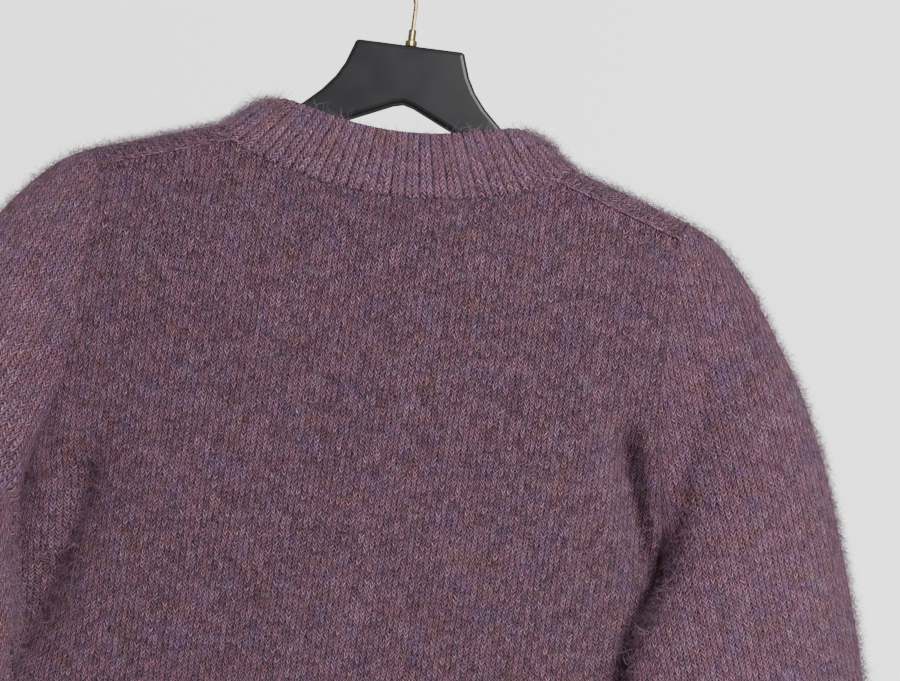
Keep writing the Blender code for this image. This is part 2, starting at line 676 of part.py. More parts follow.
def build_hook(material):
    points = hook_points()
    curve = bpy.data.curves.new("hook_wire", "CURVE")
    curve.dimensions = "3D"
    curve.bevel_depth = HOOK_WIRE / 2
    curve.bevel_resolution = 2
    curve.use_fill_caps = True
    spline = curve.splines.new("POLY")
    spline.points.add(len(points) - 1)
    for spot, point in zip(spline.points, points):
        spot.co = (*point, 1)
    hook = bpy.data.objects.new("hook", curve)
    bpy.data.collections["cardigan"].objects.link(hook)
    curve.materials.append(material)
    return hook


def build_ferrule(material):
    """The collar and the short thick sleeve round the wire above the hanger."""
    hole = HOOK_WIRE / 2 + SEAM_GAP
    low, high = SEAM_GAP, COLLAR_HEIGHT
    top = COLLAR_HEIGHT + SLEEVE_HEIGHT
    profile = ((hole, top), (SLEEVE_RADIUS + SEAM_GAP, top), (SLEEVE_RADIUS + 2 * SEAM_GAP, top - 0.0005),
               (SLEEVE_RADIUS + 2 * SEAM_GAP, high), (COLLAR_RADIUS - 0.0006, high),
               (COLLAR_RADIUS, high - 0.0007), (COLLAR_RADIUS, low), (hole, low), (hole, top))
    ferrule = turned("ferrule", profile, material, 20)
    ferrule.location = (0, 0, -HOOK_RISE)
    return ferrule


def cut_hook_socket(hanger):
    """The blind hole in the hanger's top edge that takes the end of the wire."""
    bpy.ops.mesh.primitive_cylinder_add(vertices=16, radius=HOOK_WIRE / 2 + SEAM_GAP, depth=0.012,
                                        location=(0, 0, -HOOK_RISE + 0.0014))
    cutter = bpy.context.object
    cutter.name = "hook_socket_cutter"
    cutter.hide_render = True
    cutter.display_type = "WIRE"
    for owner in list(cutter.users_collection):
        owner.objects.unlink(cutter)
    bpy.data.collections["cutters"].objects.link(cutter)
    cut = hanger.modifiers.new("Hook socket", "BOOLEAN")
    cut.operation = "DIFFERENCE"
    cut.object = cutter


def main():
    for item in list(bpy.data.objects):
        bpy.data.objects.remove(item)
    for name in ("cardigan", "cutters"):
        bpy.context.scene.collection.children.link(bpy.data.collections.new(name))

    knit = make_material("heather_knit", (0.15, 0.085, 0.12), 0.95)
    rib = make_material("rib_knit", (0.17, 0.10, 0.135), 0.95)
    plastic = make_material("black_plastic", (0.045, 0.045, 0.052), 0.38)
    brass = make_material("brass", (0.72, 0.56, 0.28), 0.28, metallic=1.0)
    shell = make_material("button_shell", (0.11, 0.06, 0.08), 0.35)

    build_back(knit)
    build_front(LEFT, "front_left", knit)
    build_front(RIGHT, "front_right", knit)
    build_sleeve(LEFT, "sleeve_left", knit)
    build_sleeve(RIGHT, "sleeve_right", knit)
    build_cuff(LEFT, "cuff_left", rib)
    build_cuff(RIGHT, "cuff_right", rib)
    build_neckband(rib)
    side = half_width(HEM_DROPS[1], 1)
    build_hem("hem_back", -side, side, BACK, rib)
    build_hem("hem_left", OPENING_HALF + SEAM_GAP, side, FRONT, rib)
    build_hem("hem_right", -side, -OPENING_HALF - SEAM_GAP, FRONT, rib)
    build_under_band(rib)
    build_over_band(rib)

    band_face = BAND_WALL + 2 * RIB_RELIEF + 2 * SEAM_GAP
    for number, drop in enumerate(button_drops(), start=1):
        build_button(f"button_{number}", 0.0, drop, band_face, shell)
    hanger = build_hanger(plastic)
    cut_hook_socket(hanger)
    build_hook(brass)
    build_ferrule(brass)


main()
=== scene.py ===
"""The fine cloth, fuzz and finishes of a heather knit cardigan on its hanger.

Units are metres and +Z is up. The origin is where a rail carries the hook, on the
inside of its arc. The back of the cardigan faces +Y, its buttoned front -Y and the
wearer's left +X. Heights are given as drops below the hanger's top edge.
"""

from collections import namedtuple
from functools import partial
from math import cos, pi, radians, sin

import bpy
import numpy as np
from bpy.props import FloatProperty, FloatVectorProperty, IntProperty, PointerProperty
from mathutils import Matrix, Vector


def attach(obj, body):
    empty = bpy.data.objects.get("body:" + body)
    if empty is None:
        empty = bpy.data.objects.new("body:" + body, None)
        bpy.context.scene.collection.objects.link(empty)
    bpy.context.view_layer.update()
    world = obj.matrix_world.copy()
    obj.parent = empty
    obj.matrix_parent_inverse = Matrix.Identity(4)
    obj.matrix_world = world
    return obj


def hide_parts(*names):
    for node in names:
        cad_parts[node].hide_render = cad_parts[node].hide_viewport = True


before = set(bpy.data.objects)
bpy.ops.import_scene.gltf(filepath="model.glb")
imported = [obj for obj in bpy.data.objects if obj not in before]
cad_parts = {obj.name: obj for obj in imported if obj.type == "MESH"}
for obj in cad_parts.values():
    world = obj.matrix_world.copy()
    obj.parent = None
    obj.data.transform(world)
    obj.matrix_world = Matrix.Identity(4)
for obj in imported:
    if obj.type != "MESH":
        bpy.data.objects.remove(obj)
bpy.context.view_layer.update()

bl_info = {
    "name": "Heather cardigan",
    "version": (1, 0, 0),
    "blender": (4, 5, 0),
    "location": "3D View > Sidebar > Cardigan",
    "description": "Lays the fine knit, seams and fuzz of a hung cardigan over its solids",
    "category": "Add Mesh",
}

LEFT, RIGHT = 1, -1
BACK, FRONT = 1, -1
SIDES = ((LEFT, "left"), (RIGHT, "right"))

# The solids' own sizes
HOOK_RISE = 0.078
SLEEVE_FLATNESS = 0.8
RIB_PITCH = 0.0076
FOLD_DROP = 0.061
SHOULDER_SLOPE = 0.32
SHOULDER_ROUND = 0.0122
NECK_HALF = 0.107
SHOULDER_SEAM_AT_NECK = 0.0985
BACK_NECK_DROP = 0.0925
FRONT_NECK_DROP = 0.136
BAND_TOP_HALF = 0.0765
BAND_TOP_DROP = 0.0395
BAND_TOP_BACK_DROP = 0.0540
BAND_TOP_FRONT_DROP = 0.100
BAND_TOP_DEPTH = 0.0185
SEAM_TOP_DROP = 0.0938
UNDERARM_DROP = 0.290
HEM_SEAM_DROP = 0.580
HEM_DROP = 0.640
OPENING_HALF = 0.0150
BAND_LAP = 0.0045
BUTTON_COUNT = 6
WALL = 0.0024
BAND_WALL = 0.0030

# What only the cloth here has
HEM_RIB_DROP = 0.610          # the level where the hem's ribs are measured
BACK_NECK_POWER = 1.36        # how fast the neck falls from the shoulders to its middle
FRONT_NECK_POWER = 1.2
FOLD_FADE = 0.3               # the part of a fold's length over which each end fades
RIDGE_ROW = 4                 # the rows of a front before this one lie behind the shoulder's ridge
NECKBAND_LAP = 0.15           # radians that each end of the neckband runs past the middle front
NECKBAND_TUCK = 0.0045        # how far its upper end stands off its lower end there
CORNER_DROP = 0.0045          # how far the neckband's upper corners are rounded off
CORNER_BULGE = 0.0065         # how far the band below them stands out
BAND_LIFT = 0.0042            # how far the buttonhole band lies out over the button band
SHOULDER_CORD = 0.0017        # radii of the cords along the seams
SIDE_CORD = 0.0009
JOIN_CORD = 0.0008
CORD_SQUASH = 0.5             # a cord's thickness as a share of its width
CORD_TWIST = 1.3              # radians that its strands turn at each step
CORD_SIDES = 6
CORD_STEP = 0.0022
CORD_ROUND = 0.0066           # how much of the yarn's map goes round a cord

ROOT_DEPTH = 0.0004           # how far inside the cloth a hair starts
HAIR_REACH = 0.009            # the most that a hair stands off the cloth
HAIR_STEPS = (0.0, 0.45, 1.0)
STRAY_SHARE = 0.03            # of the hairs, which are longer by the next factor
STRAY_LENGTH = 1.4

FLOOR_LEVEL = -1.05
FLOOR_SIZE = 2.4
SURROUND_STRENGTH = 3.4       # of the surround as the camera sees it
# The surround's fall in tone from one side to the other is painted light.
SURROUND_FALL = 0.90          # its tone at one side, as a share of its tone at the other

# The camera, measured from a spot on the garment's middle plane
AIM_LEVEL = -0.248            # the height of that spot
CAMERA_BACK = 0.7593
CAMERA_ASIDE = 0.0465
CAMERA_LOWER = 0.0033
CAMERA_TILT = radians(0.736)
CAMERA_ROLL = radians(7.370)

# Rows and columns of points
BACK_MESH = (120, 101)
FRONT_MESH = (130, 51)
SLEEVE_MESH = (92, 80)
COLUMNS_A_RIB = 8
SHOULDER_POINTS = 35          # of the back's columns at each end, and of its rows at each side
ARMHOLE_POINTS = 160
CUFF_POINTS = 120

LEVEL_COLUMNS = ("drop", "left", "right", "back", "front", "edge")
BODY_LEVELS = np.array((
    # drop    left    right   back    front   edge
    (0.0845, 0.1800, 0.1800, 0.0180, 0.0170, 0.0120),
    (0.0965, 0.1745, 0.1745, 0.0195, 0.0185, 0.0125),
    (0.1100, 0.1735, 0.1735, 0.0215, 0.0200, 0.0155),
    (0.1400, 0.1735, 0.1730, 0.0245, 0.0230, 0.0195),
    (0.1800, 0.1745, 0.1735, 0.0280, 0.0265, 0.0220),
    (0.2100, 0.1775, 0.1760, 0.0300, 0.0285, 0.0215),
    (0.2400, 0.1840, 0.1805, 0.0312, 0.0295, 0.0180),
    (0.2650, 0.1910, 0.1855, 0.0318, 0.0300, 0.0125),
    (0.2820, 0.1960, 0.1885, 0.0320, 0.0300, 0.0060),
    (0.2900, 0.1985, 0.1890, 0.0320, 0.0300, 0.0000),
    (0.3000, 0.2010, 0.1888, 0.0320, 0.0300, 0.0000),
    (0.3300, 0.2040, 0.1850, 0.0322, 0.0300, 0.0000),
    (0.4000, 0.2000, 0.1835, 0.0326, 0.0305, 0.0000),
    (0.4800, 0.1940, 0.1865, 0.0330, 0.0310, 0.0000),
    (0.5500, 0.1895, 0.1880, 0.0322, 0.0305, 0.0000),
    (0.5800, 0.1855, 0.1855, 0.0305, 0.0290, 0.0000),
    (0.6100, 0.1790, 0.1790, 0.0288, 0.0276, 0.0000),
    (0.6400, 0.1810, 0.1810, 0.0290, 0.0278, 0.0000),
))

SleeveRing = namedtuple("SleeveRing", "over over_drop left right under_drop half shift")
SLEEVE_RINGS = [SleeveRing(*row) for row in (
    # over, over_drop, left, right, under_drop, half, shift
    (0.1990, 0.0945, 0.1985, 0.1925, 0.2975, 0.0235, 0.002),
    (0.2180, 0.1150, 0.1980, 0.1900, 0.3045, 0.0250, 0.008),
    (0.2370, 0.1450, 0.1965, 0.1861, 0.3120, 0.0262, 0.015),
    (0.2540, 0.1750, 0.1950, 0.1818, 0.3210, 0.0265, 0.021),
    (0.2705, 0.2120, 0.1925, 0.1778, 0.3320, 0.0262, 0.026),
    (0.2850, 0.2540, 0.1890, 0.1750, 0.3460, 0.0260, 0.029),
    (0.2990, 0.2990, 0.1850, 0.1755, 0.3660, 0.0258, 0.031),
    (0.3115, 0.3430, 0.1820, 0.1813, 0.3990, 0.0252, 0.030),
    (0.3225, 0.3900, 0.1880, 0.1933, 0.4390, 0.0245, 0.024),
    (0.3310, 0.4370, 0.2030, 0.2073, 0.4790, 0.0238, 0.015),
    (0.3370, 0.4800, 0.2230, 0.2218, 0.5150, 0.0230, 0.009),
    (0.3405, 0.5160, 0.2408, 0.2379, 0.5440, 0.0215, 0.005),
    (0.3372, 0.5325, 0.2532, 0.2532, 0.5550, 0.0195, 0.003),
)]
CUFF_RINGS = [SleeveRing(*row) for row in (
    # over, over_drop, left, right, under_drop, half, shift
    (0.3370, 0.5330, 0.2542, 0.2542, 0.5552, 0.0190, 0.003),
    (0.3422, 0.5630, 0.2612, 0.2612, 0.5846, 0.0175, 0.001),
    (0.3495, 0.5925, 0.2675, 0.2675, 0.6145, 0.0178, 0.000),
)]

Crease = namedtuple("Crease", "side ring angle rings degrees depth")
SLEEVE_CREASES = [Crease(*row) for row in (
    (LEFT, 0.6, 62, 0.55, 24, 0.0080),
    (LEFT, 1.4, 38, 0.60, 22, 0.0065),
    (RIGHT, 0.6, 62, 0.55, 24, 0.0090),
    (RIGHT, 1.4, 36, 0.60, 22, 0.0075),
    (LEFT, 2.2, 163, 1.1, 22, 0.0120),
    (RIGHT, 1.8, 163, 1.0, 20, 0.0110),
    (LEFT, 4.0, 128, 1.5, 26, 0.0035),
    (RIGHT, 3.4, 125, 1.3, 24, 0.0035),
    (LEFT, 7.2, 150, 0.9, 45, 0.0060),
    (LEFT, 9.0, 60, 0.8, 40, 0.0045),
    (LEFT, 8.2, 250, 0.9, 50, 0.0050),
    (RIGHT, 7.8, 140, 0.9, 45, 0.0060),
    (RIGHT, 9.6, 70, 0.8, 40, 0.0045),
    (RIGHT, 7.4, 255, 0.9, 50, 0.0050),
)]

# Folds as soft troughs, or ridges where the depth is negative, between two places.
Fold = namedtuple("Fold", "face x0 drop0 x1 drop1 width depth")
BODY_FOLDS = [Fold(*row) for row in (
    (BACK, -0.155, 0.215, -0.182, 0.300, 0.013, 0.0080),
    (BACK, 0.150, 0.250, 0.180, 0.400, 0.015, 0.0090),
    (BACK, -0.100, 0.440, -0.118, 0.575, 0.020, 0.0040),
    (BACK, 0.070, 0.420, 0.086, 0.575, 0.022, 0.0045),
    (FRONT, 0.150, 0.215, 0.178, 0.300, 0.013, 0.0070),
    (FRONT, -0.146, 0.250, -0.172, 0.390, 0.015, 0.0070),
    (FRONT, -0.090, 0.440, -0.105, 0.575, 0.020, 0.0040),
    (FRONT, 0.088, 0.430, 0.098, 0.575, 0.020, 0.0040),
)]
FINE_FOLDS = [Fold(*row) for row in (
    (BACK, 0.1570, 0.262, 0.1755, 0.352, 0.0078, 0.0135),
    (BACK, 0.1705, 0.332, 0.1970, 0.405, 0.0082, 0.0145),
    (BACK, -0.153, 0.205, -0.187, 0.300, 0.0082, 0.0130),
    (FRONT, 0.150, 0.205, 0.180, 0.305, 0.0070, 0.0040),
    (FRONT, -0.145, 0.240, -0.174, 0.390, 0.0075, 0.0040),
    (BACK, 0.060, 0.330, 0.105, 0.400, 0.016, 0.0014),
    (BACK, -0.040, 0.300, -0.078, 0.420, 0.020, 0.0012),
    (BACK, 0.010, 0.450, 0.020, 0.560, 0.018, 0.0016),
    (BACK, -0.135, 0.330, -0.150, 0.470, 0.014, -0.0014),
    (BACK, 0.120, 0.170, 0.155, 0.210, 0.012, 0.0012),
    (BACK, -0.125, 0.160, -0.158, 0.205, 0.012, 0.0012),
    (FRONT, 0.060, 0.230, 0.120, 0.300, 0.016, 0.0014),
    (FRONT, -0.055, 0.260, -0.110, 0.360, 0.018, 0.0014),
    (FRONT, 0.050, 0.400, 0.060, 0.560, 0.016, 0.0015),
    (FRONT, -0.045, 0.420, -0.050, 0.570, 0.016, 0.0013),
)]


# Shapes

def mix(a, b, t):
    return a + (b - a) * t


def smooth(value):
    t = np.clip(value, 0.0, 1.0)
    return t * t * (3 - 2 * t)


def signed_power(value, power):
    return np.abs(value) ** power * np.sign(value)


def unit(vectors):
    return vectors / np.maximum(np.linalg.norm(vectors, axis=-1, keepdims=True), 1e-12)


def lengths_along(line):
    """The length of a line of points from its start to each of them."""
    return np.concatenate([[0], np.cumsum(np.linalg.norm(np.diff(line, axis=0), axis=1))])


def read_column(column, drop):
    """A smooth curve without overshoot through one column of BODY_LEVELS."""
    xs, ys = BODY_LEVELS[:, 0], BODY_LEVELS[:, LEVEL_COLUMNS.index(column)]
    steps = np.diff(ys) / np.diff(xs)
    before, after = steps[:-1], steps[1:]
    even = before * after > 0
    slopes = np.zeros(len(xs))
    slopes[1:-1][even] = 2 * before[even] * after[even] / (before + after)[even]
    k = np.clip(np.searchsorted(xs, drop, side="right") - 1, 0, len(xs) - 2)
    span = xs[k + 1] - xs[k]
    t = np.clip((drop - xs[k]) / span, 0, 1)
    lead = t * (1 - t) ** 2 * span * slopes[k]
    tail = t * t * (t - 1) * span * slopes[k + 1]
    return mix(ys[k], ys[k + 1], smooth(t)) + lead + tail


def half_width(drop, side):
    return np.where(np.asarray(side) > 0, read_column("left", drop), read_column("right", drop))


def fold_drop(x):
    """The ridge along the top of the shoulders."""
    return FOLD_DROP + (np.abs(x) - NECK_HALF) * SHOULDER_SLOPE


def trough(x, drop, face, folds):
    depth = np.zeros(np.broadcast(x, drop).shape)
    for fold in folds:
        run, fall = fold.x1 - fold.x0, fold.drop1 - fold.drop0
        length = np.hypot(run, fall)
        along = ((x - fold.x0) * run + (drop - fold.drop0) * fall) / length ** 2
        across = ((x - fold.x0) * fall - (drop - fold.drop0) * run) / length
        ends = smooth(along / FOLD_FADE + 0.2) * smooth((1 - along) / FOLD_FADE + 0.2)
        depth += np.where(face == fold.face, fold.depth * ends * np.exp(-(across / fold.width) ** 2), 0)
    return depth


def waver(x, drop, face):
    """The slight unevenness of hung knit, well under a millimetre."""
    turn = 0.9 * face
    return (0.00035 * np.sin(x * 95 + turn + 3 * np.sin(drop * 21 + turn))
            + 0.00030 * np.sin(drop * 120 - x * 40 + 2 * turn)
            + 0.00025 * np.sin(x * 210 + drop * 65))


def body_depth(x, drop, face):
    """Half thickness of the hung body, from its middle plane to one face."""
    reach = np.clip(np.abs(x) / half_width(drop, x), 0, 1)
    middle = np.where(face == BACK, read_column("back", drop), read_column("front", drop))
    edge = read_column("edge", drop)
    crown = mix(1 - reach ** 2.4, (1 - reach ** 3) ** (1 / 2.2), smooth((drop - 0.20) / 0.09))
    depth = edge + (middle - edge) * crown
    dips = trough(x, drop, face, BODY_FOLDS + FINE_FOLDS) + waver(x, drop, face)
    depth = depth - dips * smooth((1 - reach) / 0.10)
    over_top = np.clip((drop - fold_drop(x)) / SHOULDER_ROUND, 0, 1)
    return depth * np.sqrt(1 - (1 - over_top) ** 2)


def body_points(x, drop, face):
    x, drop, face = np.broadcast_arrays(x, drop, face)
    return np.stack([x, face * body_depth(x, drop, face), -HOOK_RISE - drop], axis=-1)


def neck_seam(angle):
    """x and drop of the neck seam: 0 is the middle of the back and pi the front."""
    height = np.abs(np.cos(angle))
    back = FOLD_DROP + (BACK_NECK_DROP - FOLD_DROP) * height ** BACK_NECK_POWER
    front = FOLD_DROP + (FRONT_NECK_DROP - FOLD_DROP) * height ** FRONT_NECK_POWER
    return NECK_HALF * np.sin(angle), np.where(np.cos(angle) > 0, back, front)


def back_grid(rows, columns):
    """Rows of the back from the neck and shoulder seams down to the hem seam."""
    reach = np.sin(np.linspace(-pi / 2, pi / 2, columns))[None, :]
    share = np.linspace(0, 1, rows)[:, None] ** 1.08
    corner = SHOULDER_SEAM_AT_NECK / half_width(SEAM_TOP_DROP, 1)
    x_top = np.abs(reach) * SHOULDER_SEAM_AT_NECK / corner
    neck = FOLD_DROP + (BACK_NECK_DROP - FOLD_DROP) * np.sqrt(
        np.clip(1 - (x_top / NECK_HALF) ** 2, 0, 1)) ** BACK_NECK_POWER
    top = np.where(np.abs(reach) <= corner, neck, fold_drop(x_top) + SHOULDER_ROUND)
    side = mix(SEAM_TOP_DROP, HEM_SEAM_DROP, share)
    return body_points(reach * half_width(side, reach), mix(top, HEM_SEAM_DROP, share), BACK)


# Where a front's rows run: from the neck or the front edge out to armhole or side.
FRONT_ROWS = np.array((
    # inner x  inner drop or neck angle  outer face and drop
    (67.0, 0.0938, BACK), (74.0, 0.0892, BACK), (80.0, 0.0865, BACK), (85.5, 0.0850, BACK),
    (90.0, 0.0845, FRONT), (94.5, 0.0850, FRONT), (100.0, 0.0865, FRONT), (107.0, 0.0892, FRONT),
    (117.0, 0.0938, FRONT), (127.0, 0.1040, FRONT), (137.0, 0.1180, FRONT), (147.0, 0.1380, FRONT),
    (158.0, 0.1600, FRONT), (171.95, 0.1840, FRONT),
))
FRONT_EDGE_ROWS = np.array(((0.170, 0.210), (0.205, 0.235), (0.237, 0.257), (0.265, 0.275), (0.290, 0.290)))


def front_grid(side, rows, columns):
    """Rows of one front from the shoulder seam, over the shoulder and down to the hem."""
    reach = np.sin(np.linspace(0, pi / 2, columns))
    lines = []
    for angle, out_drop, face in FRONT_ROWS:
        x0, drop0 = neck_seam(radians(angle))
        lines.append((x0, drop0, half_width(out_drop, side), out_drop, face))
    for edge_drop, out_drop in FRONT_EDGE_ROWS:
        lines.append((OPENING_HALF, edge_drop, half_width(out_drop, side), out_drop, FRONT))
    for drop in np.linspace(0.312, HEM_SEAM_DROP, 10):
        lines.append((OPENING_HALF, drop, half_width(drop, side), drop, FRONT))
    table = np.array(lines)
    at = np.linspace(0, len(table) - 1, rows)
    k = np.minimum(at.astype(int), len(table) - 2)
    part = (at - k)[:, None]
    x0, drop0, x1, drop1 = (mix(table[k, c][:, None], table[k + 1, c][:, None], part) for c in range(4))
    x = mix(x0, x1, reach[None, :])
    drop = mix(drop0, drop1, reach[None, :])
    face = np.where(at < RIDGE_ROW, BACK, FRONT)[:, None] * np.ones_like(x)
    return body_points(side * x, np.maximum(drop, fold_drop(x)), face)


def sleeve_ring(ring, side, angle):
    """Angle 0 is the upper line, 90 degrees the back face, 180 the under line."""
    along = (1 + signed_power(np.cos(angle), SLEEVE_FLATNESS)) / 2
    across = signed_power(np.sin(angle), SLEEVE_FLATNESS)
    x = mix(ring.left if side == LEFT else ring.right, ring.over, along)
    drop = mix(ring.under_drop, ring.over_drop, along)
    return np.stack([side * x, ring.shift + ring.half * across, -HOOK_RISE - drop], axis=-1)


def sleeve_grid(side, rows, columns):
    """Rings of a sleeve from its armhole to its cuff seam."""
    angle = np.linspace(0, 2 * pi, columns, endpoint=False)
    along = (1 + signed_power(np.cos(angle), SLEEVE_FLATNESS)) / 2
    drop = mix(UNDERARM_DROP, BODY_LEVELS[0, 0], along)
    face = np.where(np.sin(angle) > -1e-9, BACK, FRONT)
    rings = [body_points(side * half_width(drop, side), drop, face)]
    for number, ring in enumerate(SLEEVE_RINGS):
        points = sleeve_ring(ring, side, angle)
        middle = (sleeve_ring(ring, side, 0.0) + sleeve_ring(ring, side, pi)) / 2
        inward = unit(middle - points)
        for crease in SLEEVE_CREASES:
            if crease.side == side:
                turn = (angle - radians(crease.angle) + pi) % (2 * pi) - pi
                far = ((number - crease.ring) / crease.rings) ** 2 + (turn / radians(crease.degrees)) ** 2
                points += inward * (crease.depth * np.exp(-far))[:, None]
        rings.append(points)
    return round_rows(np.array(rings), rows)


def round_rows(coarse, rows):
    """The grid again with more rows, on a smooth curve through the given ones."""
    at = np.linspace(0, len(coarse) - 1, rows)
    k = np.minimum(at.astype(int), len(coarse) - 2)
    t = (at - k)[:, None, None]
    a, b = coarse[np.maximum(k - 1, 0)], coarse[k]
    c, d = coarse[k + 1], coarse[np.minimum(k + 2, len(coarse) - 1)]
    return b + 0.5 * t * (c - a + t * (2 * a - 5 * b + 4 * c - d + t * (3 * (b - c) + d - a)))


def cuff_grid(side, rows):
    """Ribs run along the cuff, so the columns are even steps round it."""
    def curve(angle):
        return sleeve_ring(CUFF_RINGS[1], side, angle)

    angle, ribs = even_ribs(curve, -pi, pi)
    coarse = np.array([sleeve_ring(ring, side, angle[:-1]) for ring in CUFF_RINGS])
    return round_rows(coarse, rows), ribs


def even_ribs(curve, start, end):
    """Parameters that give every rib the same width, and the number of ribs."""
    fine = np.linspace(start, end, 1201)
    lengths = lengths_along(curve(fine))
    ribs = round(lengths[-1] / RIB_PITCH)
    return np.interp(np.linspace(0, lengths[-1], ribs * COLUMNS_A_RIB + 1), lengths, fine), ribs


def hem_grid(start_x, end_x, face, rows):
    def curve(angle):
        reach = np.sin(angle)
        return body_points(reach * half_width(HEM_RIB_DROP, reach), HEM_RIB_DROP, face)

    start, end = (np.arcsin(np.clip(x / half_width(HEM_RIB_DROP, x), -1, 1)) for x in (start_x, end_x))
    angle, ribs = even_ribs(curve, start, end)
    reach = np.sin(angle)[None, :]
    drop = np.linspace(HEM_SEAM_DROP, HEM_DROP, rows)[:, None]
    return body_points(reach * half_width(drop, reach), drop, face), ribs


def neckband_points(angle, height):
    """Places on the neckband, from its seam (height 0) to its upper edge (1)."""
    angle, height = np.broadcast_arrays(angle, height)
    x, drop = neck_seam(angle)
    face = np.where(np.cos(angle) > 0, BACK, FRONT)
    seam = body_points(x, drop, face)
    flat = np.abs(np.cos(angle))
    top_drop = np.where(face == BACK,
                        BAND_TOP_DROP + (BAND_TOP_BACK_DROP - BAND_TOP_DROP) * flat ** 2.3,
                        BAND_TOP_DROP + (BAND_TOP_FRONT_DROP - BAND_TOP_DROP) * flat ** 1.3)
    corner = np.abs(np.sin(angle)) ** 14
    top_drop = top_drop + CORNER_DROP * corner
    top = np.stack([BAND_TOP_HALF * np.sin(angle), face * BAND_TOP_DEPTH * flat ** 0.75,
                    -HOOK_RISE - top_drop], axis=-1)
    points = mix(seam, top, height[..., None])
    bulge = np.sin(pi * height) * (height - 0.22) * CORNER_BULGE * corner
    points[..., 0] += np.sign(np.sin(angle)) * bulge
    points[..., 2] += bulge * 0.8
    over = np.where(angle < 0, smooth((np.abs(angle) - (pi - 0.62)) / 0.36), 0.0)
    points[..., 1] -= over * NECKBAND_TUCK
    return points


def neckband_grid(rows):
    end = pi + NECKBAND_LAP
    angle, ribs = even_ribs(lambda turn: neckband_points(turn, 0.5), -end, end)
    return neckband_points(angle[None, :], np.linspace(0, 1, rows)[:, None]), ribs


def band_grid(start, end, lift, rows, columns):
    drop = np.linspace(FRONT_NECK_DROP + 0.0006, HEM_DROP, rows)[:, None]
    points = body_points(np.linspace(start, end, columns)[None, :], drop, FRONT)
    points[..., 1] -= lift
    return points


# Cloth

def outward_normals(grid, closed, turn):
    down = np.gradient(grid, axis=0)
    if closed:
        across = np.roll(grid, -1, axis=1) - np.roll(grid, 1, axis=1)
    else:
        across = np.gradient(grid, axis=1)
    return unit(np.cross(down, across) * turn)


def body_map(grid, middle_x=0.0):
    """Metres across and up a panel whose wales hang straight, whatever its folds.

    Depth counts little across the cloth, except where it turns round the side, and
    counts down it only over the top of the shoulder.
    """
    step = np.diff(grid, axis=1)
    reach = np.abs(grid[:, 1:, 0]) / np.abs(grid[..., 0]).max(axis=1, keepdims=True)
    depth_share = mix(0.3, 1.0, smooth((reach - 0.9) / 0.06))
    across = np.cumsum(np.hypot(step[..., 0], step[..., 1] * depth_share), axis=1)
    across = np.concatenate([np.zeros((len(grid), 1)), across], axis=1)
    start = np.argmin(np.abs(grid[:, :, 0] - middle_x), axis=1)
    sign = np.sign(grid[0, -1, 0] - grid[0, 0, 0])
    across -= np.take_along_axis(across, start[:, None], axis=1)
    fall = np.diff(grid, axis=0)
    over_shoulder = smooth((grid[1:, :, 2] + HOOK_RISE + 0.15) / 0.02)
    down = np.cumsum(np.hypot(fall[..., 1] * over_shoulder, fall[..., 2])[::-1], axis=0)[::-1]
    up = np.concatenate([down, np.zeros((1, grid.shape[1]))], axis=0)
    return np.stack([across * sign, up], axis=-1)


def sleeve_map(grid):
    """Metres across and along a sleeve whose wales all run straight along it.

    The back and the front halves are measured from their own middle lines, so their
    stitches meet unevenly only at the upper line and at the seam under the arm.
    """
    rows, columns = grid.shape[:2]
    centre = grid.mean(axis=1)
    heading = centre[-1] - centre[0]
    heading[1] = 0.0
    heading = unit(heading)
    sideways = np.array([-heading[2], 0.0, heading[0]])
    wrapped = np.concatenate([grid, grid[:, :1]], axis=1)
    step = np.diff(wrapped, axis=1)
    step -= (step @ heading)[..., None] * heading
    around = np.concatenate([np.zeros((rows, 1)), np.cumsum(np.linalg.norm(step, axis=-1), axis=1)], axis=1)
    for first, last in ((0, columns // 2), (columns // 2 + 1, columns)):
        middle = (first + last) // 2
        way = np.sign((wrapped[:, last] - wrapped[:, first]) @ sideways)[:, None]
        start = (wrapped[:, middle] @ sideways)[:, None] - way * around[:, middle][:, None]
        around[:, first:last + 1] = start + way * around[:, first:last + 1]
    return np.stack([around, -(wrapped @ heading)], axis=-1)


def rib_map(grid, ribs, closed):
    """The map of a ribbed strip: every rib is one pitch wide, with a wale on its crest."""
    columns = grid.shape[1] + closed
    across = np.linspace(0.25, ribs + 0.25, columns)[None, :] * RIB_PITCH
    fall = np.linalg.norm(np.diff(grid, axis=0), axis=-1).mean(axis=1)
    up = np.concatenate([np.cumsum(fall[::-1])[::-1], [0]])[:, None]
    return np.stack(np.broadcast_arrays(across, up), axis=-1)


def raise_ribs(grid, ribs, closed, turn, relief):
    columns = grid.shape[1] + closed
    phase = np.linspace(0, ribs, columns)[:grid.shape[1]]
    height = relief * (1 - np.abs(2 * (phase % 1) - 1) ** 3)
    return grid + outward_normals(grid, closed, turn) * height[None, :, None]


def quads(number):
    """The corners of every face between the points of a grid, from the points' numbers."""
    corners = number[:-1, :-1], number[1:, :-1], number[1:, 1:], number[:-1, 1:]
    return np.stack(corners, axis=-1).reshape(-1, 4)


